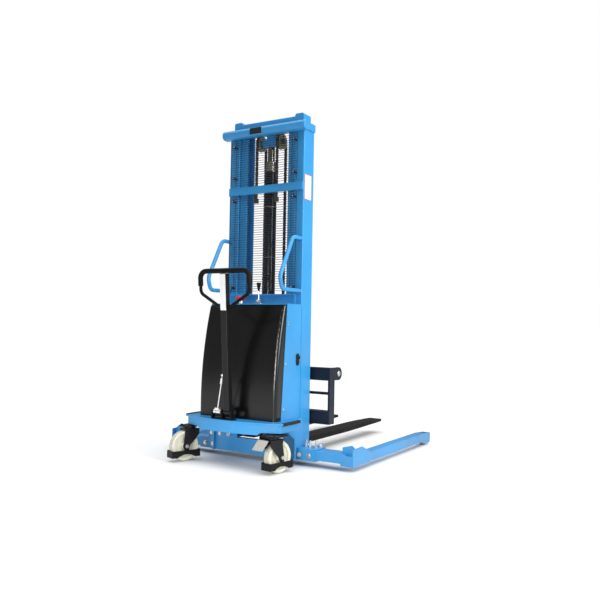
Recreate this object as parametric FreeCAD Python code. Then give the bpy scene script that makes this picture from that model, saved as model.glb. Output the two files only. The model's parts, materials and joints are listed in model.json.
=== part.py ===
"""Walkie stacker with adjustable straddle legs, as an assembly of separate named pieces.

Millimetres. +Z is up, +Y points forward along the forks, +X is the operator's right.
Everything is drawn from the mast: y = 0 is the rear face of the outer mast, x = 0 its centre
plane and z = 0 the floor. Each piece is moved along Y at the end, so that the origin lies
under the middle of the whole machine.
"""
import FreeCAD, Part
import math
import os

V = FreeCAD.Vector

# ---------------------------------------------------------------- driving dimensions
# Overall
FORK_TIP_Y = 1452.0
REAR_MOST_Y = -446.6
ORIGIN_Y = (FORK_TIP_Y + REAR_MOST_Y) / 2.0

# Outer mast: two C-channels that open towards each other
MAST_HALF = 280.0
MAST_DEPTH = 120.0
MAST_TOP = 2074.0
MAST_WEB = 10.0
MAST_FLANGE = 12.0
MAST_FLANGE_EDGE = 208.0

# Inner mast: two I-sections nested in the outer channels
INNER_WEB_IN = 190.0
INNER_WEB_OUT = 200.0
INNER_EDGE_IN = 157.0
INNER_EDGE_OUT = 262.0
INNER_REAR = 16.0
INNER_FRONT = 104.0
INNER_FLANGE = 12.0
INNER_BOTTOM = 118.0
INNER_TOP = 2084.0
CROSSHEAD_TOP = 2134.0
CAP_X = (200.0, 262.0)

# Mast centre line, used by the cylinder, the sheaves and all mast rollers
MAST_MID_Y = 60.0

# Cross members on the rear of the outer mast
TOP_BEAM_HALF = 312.0
TOP_BEAM_DEPTH = 54.0
TOP_BEAM_Z = (2014.0, 2072.0)
MID_BAR_HALF = 276.0
MID_BAR_Z = (1652.0, 1702.0)
MID_BAR_THICK = 12.0
LOW_BAR_Z = (957.0, 1016.0)
LOW_BAR_THICK = 12.0

# Lift cylinder
BARREL_R = 38.0
BORE_R = 32.0
ROD_R = 22.5
BARREL_Z = (104.0, 1796.0)
ROD_TOP = 1958.0
PISTON_Z = 180.0

# Chain sheaves and leaf chain
SHEAVE_Z = 1985.0
SHEAVE_X = 76.0
SHEAVE_GROOVE_R = 43.7
SHEAVE_FLANGE_R = 49.0
CHAIN_HALF_WIDTH = 9.5
CHAIN_R = (44.0, 56.0)
REAR_ANCHOR_Z = 1625.0

# Base beam: a rectangular sleeve across the machine that holds both leg arms
SLEEVE_HALF = 427.0
SLEEVE_HALF_DEPTH = 63.0
SLEEVE_Z = (34.0, 104.0)
SLEEVE_WALL = 7.0
PLATE_THICK = 6.0
REAR_PLATE_HALF = 352.0
NOTCH_X = (-131.0, 235.0)
NOTCH_Z = 123.0
GUSSET_X = 300.0

# Deck
DECK_TOP = 272.0
DECK_THICK = 8.0
DECK_HALF = 352.0
DECK_CORNER_Y = -302.0
DECK_CENTRE_Y = -368.0
DECK_SIDE_FRONT_Y = -112.0
SKIRT_SIDE_INSET = 14.0
SKIRT_BACK_INSET = 1.0
SKIRT_THICK = 6.0
SKIRT_SIDE_Z = 218.0
SKIRT_CENTRE_Z = 203.0
SKIRT_CENTRE_HALF = 205.0

# Casters: each is drawn square to the machine and then swivelled to its resting angle
CASTER_X = 315.0
LEFT_PIVOT_Y = -302.0
LEFT_AXLE_Y = -340.0
LEFT_TURN_DEG = -20.0
RIGHT_PIVOT_Y = -341.0
RIGHT_AXLE_Y = -301.0
RIGHT_TURN_DEG = -10.0
WHEEL_R = 90.0
WHEEL_HALF = 25.0
FORK_PLATE_Z = (184.0, 192.0)
MOUNT_PLATE_Z = (204.0, 212.0)
GUARD_Z = (25.0, 66.0)
GUARD_HALF_LENGTH = 95.0

# Foot brake pedal, on the right caster
PEDAL_HINGE = (RIGHT_PIVOT_Y - 60.0, 172.0)
PEDAL_X = (CASTER_X - 59.0, CASTER_X + 19.0)

# Straddle legs
LEG_IN = 612.0
LEG_OUT = 672.0
LEG_REAR_Y = -58.0
LEG_TUBE_END_Y = 1032.0
LEG_TIP_Y = 1155.0
LEG_Z = (30.0, 90.0)
ARM_HALF_DEPTH = 55.5
ARM_Z = (41.5, 96.5)
ARM_INNER_END = 180.0
TIP_LOW_Z = 12.0
ROLLER_Y = 1098.0
ROLLER_R = 38.0

# Rear cover and equipment housing
HOUSING_HALF = 281.0
HOUSING_Z = (272.0, 939.0)
SHELF_Z = (945.0, 953.0)
COVER_CREST = (-168.0, 999.0)
COVER_MID = (-240.0, 690.0)
COVER_BOTTOM_Y = -264.0
SEAM_TOP_Y = -160.0
SEAM_BOTTOM_Y = -207.0
COVER_THICK = 4.0

# Guard mesh
MESH_HALF = 250.0
MESH_Y = (-30.0, -27.0)
MESH_PITCH = 14.8
MESH_WIRE = 3.0
UPPER_MESH_Z = (1712.0, 2004.0)
LOWER_MESH_Z = (1034.0, 1642.0)

# Tiller
TILLER_PIVOT = (-340.0, 315.0)
TILLER_LEAN_DEG = 4.5
TILLER_LENGTH = 836.0
COLUMN_HALF = (21.0, 19.0)
LOOP_HALF = 176.0
LOOP_R = 9.5
GRIP_R = 15.0

# Console
LEVER_X = 20.0
LEVER_Y = -82.0
LEVER_Z = 972.0
STOP_X = -112.0
STOP_Y = -86.0

# Carriage and forks
CARRIAGE_HALF = 400.0
CARRIAGE_REAR_Y = 150.0
CARRIAGE_PLATE = 12.0
UPPER_BAR_Z = (490.0, 568.0)
LOWER_BAR_Z = (222.0, 302.0)
FORK_SHAFT = (268.0, 528.0)
FORK_SHAFT_R = 17.0
NOSE_R = 40.0
ROLLER_PLATE_X = (141.0, 152.0)
CARRIAGE_ROLLER_R = 31.7
CARRIAGE_ROLLER_Z = (262.0, 520.0)
FORK_HALF = 59.0
FORK_TOP = 108.0
FORK_THICK = 34.0
SHANK_Y = (220.0, 255.0)
RIGHT_FORK_X = 110.0
LEFT_FORK_X = -272.0


# ---------------------------------------------------------------- shape helpers
def box(x, y, z):
    """A box from pairs of low and high coordinates."""
    return Part.makeBox(x[1] - x[0], y[1] - y[0], z[1] - z[0], V(x[0], y[0], z[0]))


def rod(start, end, radius):
    """A round bar from one point to another."""
    a = V(*start)
    along = V(*end) - a
    return Part.makeCylinder(radius, along.Length, a, along)


def pipe(start, end, outer, inner):
    """A tube: a round bar with a coaxial bore."""
    return rod(start, end, outer).cut(rod(start, end, inner))


def cone(start, end, r_start, r_end):
    a = V(*start)
    along = V(*end) - a
    return Part.makeCone(r_start, r_end, along.Length, a, along)


def hexagon(start, end, radius):
    """A hexagon nut or bolt head between two points."""
    a = V(*start)
    along = V(*end) - a
    side = V(0, 0, 1) if abs(along.z) < 0.5 * along.Length else V(1, 0, 0)
    u = along.cross(side)
    u.normalize()
    w = along.cross(u)
    w.normalize()
    corners = []
    for k in range(7):
        angle = math.radians(60 * k)
        corners.append(a + u * (radius * math.cos(angle)) + w * (radius * math.sin(angle)))
    return Part.Face(Part.makePolygon(corners)).extrude(along)


def on_plane(axis, level, a, b):
    """The point with the other two coordinates a and b, on the plane across an axis at a level."""
    if axis == "x":
        return V(level, a, b)
    if axis == "y":
        return V(a, level, b)
    return V(a, b, level)


def prism(points, axis, low, high):
    """A polygon in the plane across one axis, pulled along that axis from low to high."""
    corners = [on_plane(axis, low, a, b) for a, b in points]
    corners.append(corners[0])
    return Part.Face(Part.makePolygon(corners)).extrude(on_plane(axis, high - low, 0, 0))


def corner_arc(before, here, after, radius):
    """Start, middle and end of the arc that rounds a corner; one point three times if radius is 0."""
    if radius <= 0:
        return (here, here, here)
    a = before - here
    b = after - here
    a.normalize()
    b.normalize()
    half = a.getAngle(b) / 2.0
    run = radius / math.tan(half)
    bisector = a + b
    bisector.normalize()
    centre = here + bisector * (radius / math.sin(half))
    return (here + a * run, centre - bisector * radius, here + b * run)


def path_wire(points, radii, closed=False):
    """Straight runs joined by tangent arcs through a list of corner points."""
    count = len(points)
    arcs = []
    for k in range(count):
        if not closed and k in (0, count - 1):
            arcs.append((points[k], points[k], points[k]))
        else:
            arcs.append(corner_arc(points[k - 1], points[k], points[(k + 1) % count], radii[k]))
    edges = []
    for k in range(count):
        start, middle, end = arcs[k]
        if start.distanceToPoint(end) > 1e-6:
            edges.append(Part.Arc(start, middle, end).toShape())
        if k == count - 1 and not closed:
            break
        following = arcs[(k + 1) % count][0]
        if end.distanceToPoint(following) > 1e-6:
            edges.append(Part.LineSegment(end, following).toShape())
    return Part.Wire(edges)


def rounded_prism(points, radii, axis, low, high):
    """A polygon with rounded corners, pulled along an axis."""
    wire = path_wire([on_plane(axis, low, a, b) for a, b in points], radii, closed=True)
    return Part.Face(wire).extrude(on_plane(axis, high - low, 0, 0))


def rounded_box(x, y, z, radius, axis):
    """A box whose four edges along one axis are rounded."""
    across = {"x": (y, z), "y": (x, z), "z": (x, y)}[axis]
    along = {"x": x, "y": y, "z": z}[axis]
    (a0, a1), (b0, b1) = across
    outline = [(a0, b0), (a1, b0), (a1, b1), (a0, b1)]
    return rounded_prism(outline, [radius] * 4, axis, along[0], along[1])


def bent_tube(points, radii, radius, closed=False):
    """A round tube or wire swept along straight runs and tangent arcs."""
    wire = path_wire([V(*p) for p in points], radii, closed)
    first = wire.OrderedEdges[0]
    start = first.valueAt(first.FirstParameter)
    tangent = first.tangentAt(first.FirstParameter)
    ring = Part.Wire([Part.Circle(start, tangent, radius).toShape()])
    return wire.makePipeShell([ring], True, True)


def fuse(shapes):
    """One solid from touching shapes."""
    whole = shapes[0].multiFuse(shapes[1:]) if len(shapes) > 1 else shapes[0]
    return whole.removeSplitter()


def group(shapes):
    """Separate solids that share one node."""
    return Part.makeCompound(shapes)


def mirror_x(shape):
    return shape.mirror(V(0, 0, 0), V(1, 0, 0))


def both_sides(shape):
    return [shape, mirror_x(shape)]


def swivelled(shape, x, y, degrees):
    """Turn a caster piece about its upright kingpin."""
    turned = shape.copy()
    turned.rotate(V(x, y, 0), V(0, 0, 1), degrees)
    return turned


def on_left_caster(shape):
    return swivelled(shape, -CASTER_X, LEFT_PIVOT_Y, LEFT_TURN_DEG)


def on_right_caster(shape):
    return swivelled(shape, CASTER_X, RIGHT_PIVOT_Y, RIGHT_TURN_DEG)


def lean(shape):
    """Tilt a piece drawn upright at the tiller pivot back to the tiller's resting lean."""
    tilted = shape.copy()
    tilted.rotate(V(0, TILLER_PIVOT[0], TILLER_PIVOT[1]), V(1, 0, 0), TILLER_LEAN_DEG)
    return tilted


# ---------------------------------------------------------------- base and deck
def base_beam():
    """Rectangular sleeve across the machine, open at both ends for the leg arms."""
    y = (-SLEEVE_HALF_DEPTH, SLEEVE_HALF_DEPTH)
    outer = rounded_box((-SLEEVE_HALF, SLEEVE_HALF), y, SLEEVE_Z, 6.0, "x")
    hollow = box((-SLEEVE_HALF - 1, SLEEVE_HALF + 1), (y[0] + SLEEVE_WALL, y[1] - SLEEVE_WALL),
                 (SLEEVE_Z[0] + SLEEVE_WALL, SLEEVE_Z[1] - SLEEVE_WALL))
    return outer.cut(hollow)


def base_rear_plate():
    """Tall plate behind the sleeve with a clearance notch, and the two gussets that carry the deck."""
    y = (-SLEEVE_HALF_DEPTH - PLATE_THICK, -SLEEVE_HALF_DEPTH)
    top = DECK_TOP - DECK_THICK
    outline = [(-REAR_PLATE_HALF, SLEEVE_Z[0] + 8), (-REAR_PLATE_HALF + 22, SLEEVE_Z[0]),
               (REAR_PLATE_HALF - 52, SLEEVE_Z[0]), (REAR_PLATE_HALF - 52, top), (NOTCH_X[1], top),
               (NOTCH_X[1] - 14, NOTCH_Z), (NOTCH_X[0], NOTCH_Z), (NOTCH_X[0], top), (-REAR_PLATE_HALF, top)]
    plate = prism(outline, "y", y[0], y[1])
    gusset_outline = [(y[0], SLEEVE_Z[0]), (y[0] - 20, SLEEVE_Z[0]), (y[0] - 20, 153.0), (y[0] - 96, 205.0),
                      (y[0] - 166, 205.0), (y[0] - 166, top), (0, top), (0, SLEEVE_Z[1]), (y[0], SLEEVE_Z[1])]
    half = PLATE_THICK / 2.0
    gusset = prism(gusset_outline, "x", GUSSET_X - half, GUSSET_X + half)
    return fuse([plate] + both_sides(gusset))


def deck_slab(side_inset, back_inset, low, high, corner_radius):
    """A slab of the deck's plan shape: straight sides, an arc bulging to the rear, angled front corners."""
    half = DECK_HALF - side_inset
    corner = DECK_CORNER_Y + back_inset
    front = -SLEEVE_HALF_DEPTH - PLATE_THICK
    neck = GUSSET_X + PLATE_THICK / 2.0
    a = V(half, corner, low)
    b = V(-half, corner, low)
    arc = Part.Arc(a, V(0, DECK_CENTRE_Y + back_inset, low), b).toShape()
    rest = [b, V(-half, DECK_SIDE_FRONT_Y, low), V(-neck, front, low), V(-neck, 0, low), V(neck, 0, low),
            V(neck, front, low), V(half, DECK_SIDE_FRONT_Y, low), a]
    lines = [Part.LineSegment(rest[k], rest[k + 1]).toShape() for k in range(len(rest) - 1)]
    slab = Part.Face(Part.Wire([arc] + lines)).extrude(V(0, 0, high - low))
    rear_corners = []
    for edge in slab.Edges:
        middle = edge.CenterOfMass
        at_corner = abs(abs(middle.x) - half) < 0.5 and abs(middle.y - corner) < 0.5
        if at_corner and abs(edge.tangentAt(edge.FirstParameter).z) > 0.99:
            rear_corners.append(edge)
    return slab.makeFillet(corner_radius, rear_corners)


def deck():
    """Steel deck: top plate over a rounded skirt that is deeper in the middle of its arc."""
    skirt_top = DECK_TOP - DECK_THICK
    plate = deck_slab(0, 0, skirt_top, DECK_TOP, 9.0)
    inset = SKIRT_SIDE_INSET
    back = SKIRT_BACK_INSET
    outside = deck_slab(inset, back, SKIRT_CENTRE_Z, skirt_top, 26.0)
    inside = deck_slab(inset + SKIRT_THICK, back + SKIRT_THICK, SKIRT_CENTRE_Z - 1, skirt_top, 20.0)
    keep_back = box((-DECK_HALF - 1, DECK_HALF + 1), (DECK_CENTRE_Y - 1, DECK_SIDE_FRONT_Y),
                    (SKIRT_CENTRE_Z - 1, skirt_top))
    skirt = outside.cut(inside).common(keep_back)
    slope = SKIRT_SIDE_Z - SKIRT_CENTRE_Z
    for side in (-1, 1):
        inner = side * SKIRT_CENTRE_HALF
        outer = side * (DECK_HALF + 2)
        low = SKIRT_CENTRE_Z - 2
        notch = [(inner, low), (inner + side * slope * 1.6, SKIRT_SIDE_Z), (outer, SKIRT_SIDE_Z),
                 (outer, low)]
        skirt = skirt.cut(prism(notch, "y", DECK_CENTRE_Y - 2, DECK_SIDE_FRONT_Y + 2))
    return fuse([plate, skirt])


def deck_edge_strips():
    """Rubber strips of U-section, pushed over the two side edges of the deck plate."""
    y = (-290.0, DECK_SIDE_FRONT_Y - 4)
    plate_z = (DECK_TOP - DECK_THICK, DECK_TOP)
    strip = rounded_box((DECK_HALF - 11, DECK_HALF + 5), y, (plate_z[0] - 5, plate_z[1] + 5), 4.0, "y")
    strip = strip.cut(box((DECK_HALF - 12, DECK_HALF), (y[0] - 1, y[1] + 1), plate_z))
    return group(both_sides(strip))


def base_bolts():
    """Hexagon bolts in the sleeve's rear face and the rear plate."""
    bolts = []
    face = -SLEEVE_HALF_DEPTH
    for side in (-1, 1):
        for x in (318.0, 384.0):
            y = face - (PLATE_THICK if side < 0 and x < REAR_PLATE_HALF else 0.0)
            washer = pipe((side * x, y - 2.5, 66), (side * x, y, 66), 14.0, 5.0)
            head = hexagon((side * x, y - 10, 66), (side * x, y - 2.5, 66), 10.0)
            bolts.append(fuse([washer, head]))
    plate_face = face - PLATE_THICK
    for x in (-330.0, -264.0, -198.0):
        washer = pipe((x, plate_face - 2.5, 136), (x, plate_face, 136), 13.0, 5.0)
        head = hexagon((x, plate_face - 9, 136), (x, plate_face - 2.5, 136), 9.0)
        bolts.append(fuse([washer, head]))
    return group(bolts)


def clamp_screws():
    """Vertical set screws with lock nuts on the sleeve, which clamp the leg arms, and an end screw."""
    screws = []
    for side in (-1, 1):
        for x, y in ((318.0, 22.0), (352.0, 10.0), (386.0, 22.0)):
            stud = rod((side * x, y, SLEEVE_Z[1]), (side * x, y, SLEEVE_Z[1] + 38), 6.0)
            nut = hexagon((side * x, y, SLEEVE_Z[1]), (side * x, y, SLEEVE_Z[1] + 10), 11.0)
            screws.append(fuse([stud, nut]))
        x = side * (SLEEVE_HALF - 18)
        stud = rod((x, 38, SLEEVE_Z[1]), (x, 38, SLEEVE_Z[1] + 22), 8.0)
        nut = hexagon((x, 38, SLEEVE_Z[1]), (x, 38, SLEEVE_Z[1] + 14), 14.0)
        screws.append(fuse([stud, nut]))
    return group(screws)


# ---------------------------------------------------------------- outer mast
def outer_mast_posts():
    """Two C-channels on foot plates, open towards the middle."""
    bottom = SLEEVE_Z[1] + 10
    whole = rounded_box((MAST_FLANGE_EDGE, MAST_HALF), (0, MAST_DEPTH), (bottom, MAST_TOP), 5.0, "z")
    hollow = box((MAST_FLANGE_EDGE - 10, MAST_HALF - MAST_WEB), (MAST_FLANGE, MAST_DEPTH - MAST_FLANGE),
                 (bottom - 1, MAST_TOP + 1))
    foot = box((MAST_FLANGE_EDGE - 4, MAST_HALF + 4), (0, MAST_DEPTH), (SLEEVE_Z[1], bottom))
    post = fuse([whole.cut(hollow), foot])
    return group(both_sides(post))


def mast_top_beam():
    """Round-backed tie beam across the top of the mast, and the straps round each post."""
    low, high = TOP_BEAM_Z
    depth = TOP_BEAM_DEPTH
    profile = [(0, low), (0, high), (-depth, high), (-depth, low)]
    beam = rounded_prism(profile, [0, 0, 26, 26], "x", -TOP_BEAM_HALF, TOP_BEAM_HALF)
    ends = [edge for edge in beam.Edges if abs(abs(edge.CenterOfMass.x) - TOP_BEAM_HALF) < 0.01]
    beam = beam.makeFillet(9.0, ends)
    strap = box((MAST_HALF, MAST_HALF + 7), (0, MAST_DEPTH), (TOP_BEAM_Z[0] + 14, MAST_TOP))
    return fuse([beam] + both_sides(strap))


def mast_middle_crossbar():
    """Flat tie bar across the rear of the mast, with the two chain anchors behind the guard."""
    pieces = [box((-MID_BAR_HALF, MID_BAR_HALF), (-MID_BAR_THICK, 0), MID_BAR_Z)]
    for side in (-1, 1):
        x = (side * SHEAVE_X - 13, side * SHEAVE_X + 13)
        pieces.append(box(x, (0, 3), (REAR_ANCHOR_Z - 30, MID_BAR_Z[1])))
        pieces.append(box(x, (0, 19), (REAR_ANCHOR_Z - 30, REAR_ANCHOR_Z)))
    return fuse(pieces)


def mast_lower_crossmember():
    """Lower tie beam of the mast, a folded channel above the equipment housing."""
    half = MAST_FLANGE_EDGE + 30
    plate = box((-half, half), (-LOW_BAR_THICK, 0), LOW_BAR_Z)
    lip = box((-half, half), (-LOW_BAR_THICK - 18, -LOW_BAR_THICK), (LOW_BAR_Z[1] - 8, LOW_BAR_Z[1]))
    return fuse([plate, lip])


def grab_handles():
    """Two D-shaped tube handles on the rear of the mast posts."""
    x = 264.0
    points = [(x, 0, 1356), (x, -86, 1356), (x, -222, 1108), (x, -196, 1036), (x, 0, 1036)]
    handle = bent_tube(points, [0, 48, 60, 38, 0], 12.5)
    return group(both_sides(handle))


def mesh_panel(z_range):
    """Flat guard grille: closely spaced cross wires between upright edge wires."""
    low, high = z_range
    count = int(round((high - low - MESH_WIRE) / MESH_PITCH))
    pitch = (high - low - MESH_WIRE) / count
    uprights = [-MESH_HALF, -MESH_HALF + 38, MESH_HALF - 38 - MESH_WIRE, MESH_HALF - MESH_WIRE]
    panel = box((-MESH_HALF, MESH_HALF), MESH_Y, z_range)
    windows = []
    for row in range(count):
        z0 = low + MESH_WIRE + row * pitch
        z1 = low + (row + 1) * pitch
        for k in range(len(uprights) - 1):
            x = (uprights[k] + MESH_WIRE, uprights[k + 1])
            windows.append(box(x, (MESH_Y[0] - 1, MESH_Y[1] + 1), (z0, z1)))
    return panel.cut(Part.makeCompound(windows))


def guard_mesh():
    """Upper and lower guard grilles behind the mast window."""
    return group([mesh_panel(UPPER_MESH_Z), mesh_panel(LOWER_MESH_Z)])


def guard_clips():
    """Standoffs from the posts to the guard, each with a round clamping knob."""
    clips = []
    for side in (-1, 1):
        x = side * 226.0
        for z in (1962.0, 1760.0, 1612.0, 1058.0):
            clips.append(rod((x, MESH_Y[1], z), (x, 0, z), 6.0))
            knob = rod((x, MESH_Y[0] - 8, z), (x, MESH_Y[0], z), 10.0)
            screw = rod((x, MESH_Y[0] - 11, z), (x, MESH_Y[0] - 8, z), 5.0)
            clips.append(fuse([knob, screw]))
    return group(clips)


# ---------------------------------------------------------------- housing
def cover_solid(inset, radius):
    """The cover's outer shape, or the space inside it: a curved back with rounded upright corners."""
    half = HOUSING_HALF - 3 - inset
    crest_y, top = COVER_CREST
    bottom = HOUSING_Z[0] - 30
    back_low = V(-half, COVER_BOTTOM_Y + inset, HOUSING_Z[0] + 30)
    back_mid = V(-half, COVER_MID[0] + inset, COVER_MID[1])
    back_top = V(-half, crest_y + inset, top)
    arc = Part.Arc(back_top, back_mid, back_low).toShape()
    corners = [back_low, V(-half, COVER_BOTTOM_Y + inset, bottom), V(-half, 60, bottom),
               V(-half, 60, top), back_top]
    lines = [Part.LineSegment(corners[k], corners[k + 1]).toShape() for k in range(4)]
    solid = Part.Face(Part.Wire([arc] + lines)).extrude(V(2 * half, 0, 0))
    upright = []
    for edge in solid.Edges:
        middle = edge.CenterOfMass
        on_back = abs(abs(middle.x) - half) < 0.5 and middle.y < -150
        if on_back and abs(edge.tangentAt(edge.FirstParameter).y) < 0.9:
            upright.append(edge)
    solid = solid.makeFillet(radius, upright)
    seam_shift = 0.0 if inset == 0 else 2.0
    low = HOUSING_Z[0] - inset * 2
    high = HOUSING_Z[1] - inset
    seam_low = SEAM_BOTTOM_Y + seam_shift
    seam_high = SEAM_TOP_Y + seam_shift
    keep = prism([(-400, low), (seam_low, low), (seam_high, high), (-400, high)], "x", -half - 5, half + 5)
    return solid.common(keep)


def rear_cover():
    """Moulded rear cover: a thin curved shell, open at the front and at the bottom."""
    return cover_solid(0.0, 22.0).cut(cover_solid(COVER_THICK, 22.0 - COVER_THICK))


def side_panels():
    """Sheet steel side panels of the housing, seated against the rear of the posts."""
    outline = [(0, DECK_TOP), (0, SHELF_Z[0]), (SEAM_TOP_Y + 0.5, SHELF_Z[0]),
               (SEAM_BOTTOM_Y + 0.5, DECK_TOP)]
    panel = prism(outline, "x", HOUSING_HALF - 5, HOUSING_HALF)
    return group(both_sides(panel))


def bulkhead():
    """Front wall of the housing with a hose hole, folded over as the console shelf on top."""
    half = HOUSING_HALF - 5
    wall = box((-half, half), (-6, 0), (DECK_TOP, SHELF_Z[0]))
    wall = wall.cut(rod((-100, -10, 550), (-100, 4, 550), 14.0))
    shelf = box((-HOUSING_HALF, HOUSING_HALF), (SEAM_TOP_Y + 1, 0), SHELF_Z)
    return fuse([wall, shelf])


def cover_screws():
    """Screws that hold the side panels to the cover flange."""
    screws = []
    for side in (-1, 1):
        for y, z in ((-150.0, 846.0), (-152.0, 828.0), (-172.0, 600.0), (-186.0, 338.0)):
            start = (side * HOUSING_HALF, y, z)
            end = (side * (HOUSING_HALF + 3.5), y, z)
            screws.append(rod(start, end, 6.0))
    return group(screws)


def charging_inlet():
    """Oval charging inlet on the right side panel, with its socket and a hinged-over cap."""
    x = HOUSING_HALF
    y, z = (-40.0, 622.0)
    plate = rounded_box((x, x + 5), (y - 16, y + 16), (z - 36, z + 36), 15.5, "x")
    socket = pipe((x + 5, y, z + 12), (x + 13, y, z + 12), 12.0, 8.0)
    cap = rod((x + 5, y, z - 16), (x + 11, y, z - 16), 9.0)
    return fuse([plate, socket, cap])


# ---------------------------------------------------------------- equipment in the housing
def battery():
    """Two lead-acid batteries side by side, each with a lid and two terminals."""
    cells = []
    for x0 in (-90.0, 84.0):
        case = rounded_box((x0, x0 + 168), (-186, -16), (DECK_TOP, 470), 6.0, "z")
        lid = rounded_box((x0 - 2, x0 + 170), (-188, -14), (470, 488), 6.0, "z")
        posts = [rod((x0 + dx, -160, 488), (x0 + dx, -160, 504), 8.0) for dx in (34.0, 134.0)]
        cells.append(fuse([case, lid] + posts))
    return group(cells)


def oil_tank():
    """Hydraulic oil tank with its filler cap."""
    tank = rounded_box((-268, -118), (-180, -22), (DECK_TOP, 500), 12.0, "z")
    cap = rod((-242, -150, 500), (-242, -150, 522), 14.0)
    return fuse([tank, cap])


def valve_block():
    """Pump and valve block on the tank, with the pressure port."""
    block = box((-222, -142), (-140, -60), (500, 580))
    port = rod((-142, -100, 550), (-130, -100, 550), 11.0)
    solenoid = rod((-182, -100, 580), (-182, -100, 596), 30.0)
    return fuse([block, port, solenoid])


def pump_motor():
    """Electric motor of the pump, upright on the valve block."""
    body = rod((-182, -100, 596), (-182, -100, 760), 50.0)
    end_cap = cone((-182, -100, 760), (-182, -100, 776), 50.0, 40.0)
    terminal = rod((-182, -70, 776), (-182, -70, 792), 6.0)
    return fuse([body, end_cap, terminal])


def charger():
    """Built-in charger and controller box on the front wall, with cooling fins."""
    case = box((-20, 200), (-52, -6), (600, 800))
    fins = [box((-10 + 20 * k, -6 + 20 * k), (-70, -52), (615, 785)) for k in range(11)]
    return fuse([case] + fins)


def hydraulic_hose():
    """Pressure hose from the valve block to the foot of the lift cylinder."""
    points = [(-130, -100, 550), (-100, -100, 550), (-100, MAST_MID_Y, 550), (-100, MAST_MID_Y, 160),
              (-52, MAST_MID_Y, 160)]
    return bent_tube(points, [0, 29, 60, 47, 0], 8.0)


# ---------------------------------------------------------------- lift cylinder
def lift_cylinder():
    """Cylinder barrel standing on the sleeve, with its foot and inlet port."""
    low, high = BARREL_Z
    barrel = pipe((0, MAST_MID_Y, low + 30), (0, MAST_MID_Y, high), BARREL_R, BORE_R)
    foot = rod((0, MAST_MID_Y, low), (0, MAST_MID_Y, low + 30), BARREL_R + 4)
    port = rod((-52, MAST_MID_Y, 160), (-BARREL_R + 3, MAST_MID_Y, 160), 11.0)
    return fuse([barrel, foot, port])


def cylinder_fittings():
    """Ridged gland nut on top of the barrel and the two thin clamp bands round it."""
    y = MAST_MID_Y
    high = BARREL_Z[1]
    gland = [pipe((0, y, high), (0, y, high + 62), BARREL_R - 5, ROD_R + 0.05)]
    for low in (0, 20, 37, 54):
        gland.append(pipe((0, y, high + low), (0, y, high + low + 8), BARREL_R - 1, ROD_R + 0.05))
    bands = [pipe((0, y, z - 2.5), (0, y, z + 2.5), BARREL_R + 1.5, BARREL_R) for z in (1572.0, 1250.0)]
    return group([fuse(gland)] + bands)


def piston_rod():
    """Chromed rod with its piston inside the barrel."""
    shaft = rod((0, MAST_MID_Y, PISTON_Z), (0, MAST_MID_Y, ROD_TOP), ROD_R)
    piston = rod((0, MAST_MID_Y, PISTON_Z - 30), (0, MAST_MID_Y, PISTON_Z + 20), BORE_R - 0.05)
    return fuse([shaft, piston])


# ---------------------------------------------------------------- inner mast
def inner_mast_posts():
    """Two I-sections that slide inside the outer channels."""
    z = (INNER_BOTTOM, INNER_TOP)
    web = box((INNER_WEB_IN, INNER_WEB_OUT), (INNER_REAR, INNER_FRONT), z)
    rear = box((INNER_EDGE_IN, INNER_EDGE_OUT), (INNER_REAR, INNER_REAR + INNER_FLANGE), z)
    front = box((INNER_EDGE_IN, INNER_EDGE_OUT), (INNER_FRONT - INNER_FLANGE, INNER_FRONT), z)
    return group(both_sides(fuse([web, rear, front])))


def inner_mast_crosshead():
    """Head beam that joins the inner posts above the outer mast, with a raised cap over each post."""
    y = (INNER_REAR + 2, INNER_FRONT - 2)
    beam = box((-CAP_X[1] + 4, CAP_X[1] - 4), y, (INNER_TOP, CROSSHEAD_TOP - 13))
    long_edges = [e for e in beam.Edges if e.CenterOfMass.z > INNER_TOP + 5 and abs(e.CenterOfMass.x) < 1]
    beam = beam.makeFillet(8.0, long_edges)
    cap = rounded_box(CAP_X, (y[0] - 1, y[1] + 1), (INNER_TOP, CROSSHEAD_TOP), 12.0, "y")
    return fuse([beam] + both_sides(cap))


def sheave_bracket():
    """T-bracket under the head beam: it holds the sheave axles and takes the piston's push."""
    y = (MAST_MID_Y - 20, MAST_MID_Y + 20)
    stem = box((-25, 25), y, (SHEAVE_Z + 20, INNER_TOP))
    head = rounded_box((-58, 58), y, (ROD_TOP, SHEAVE_Z + 22), 6.0, "y")
    axle = rod((-98, MAST_MID_Y, SHEAVE_Z), (98, MAST_MID_Y, SHEAVE_Z), 12.5)
    rings = [pipe((side * 90, MAST_MID_Y, SHEAVE_Z), (side * 96, MAST_MID_Y, SHEAVE_Z), 18.0, 12.0)
             for side in (-1, 1)]
    return fuse([stem, head, axle] + rings)


def sheave(side):
    """Cast chain sheave with side flanges, five lightening recesses and a bored hub."""
    x = side * SHEAVE_X
    y, z = (MAST_MID_Y, SHEAVE_Z)
    body = rod((x - 11, y, z), (x + 11, y, z), SHEAVE_GROOVE_R)
    flanges = [rod((x + s * 11 - 1, y, z), (x + s * 11 + 1, y, z), SHEAVE_FLANGE_R) for s in (-1, 1)]
    wheel = fuse([body] + flanges)
    for k in range(5):
        angle = math.radians(90 + 72 * k)
        cy = y + 28 * math.cos(angle)
        cz = z + 28 * math.sin(angle)
        wheel = wheel.cut(rod((x - 13, cy, cz), (x + 13, cy, cz), 7.5))
    return wheel.cut(rod((x - 13, y, z), (x + 13, y, z), 12.55))


def chain_sheaves():
    return group([sheave(-1), sheave(1)])


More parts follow.
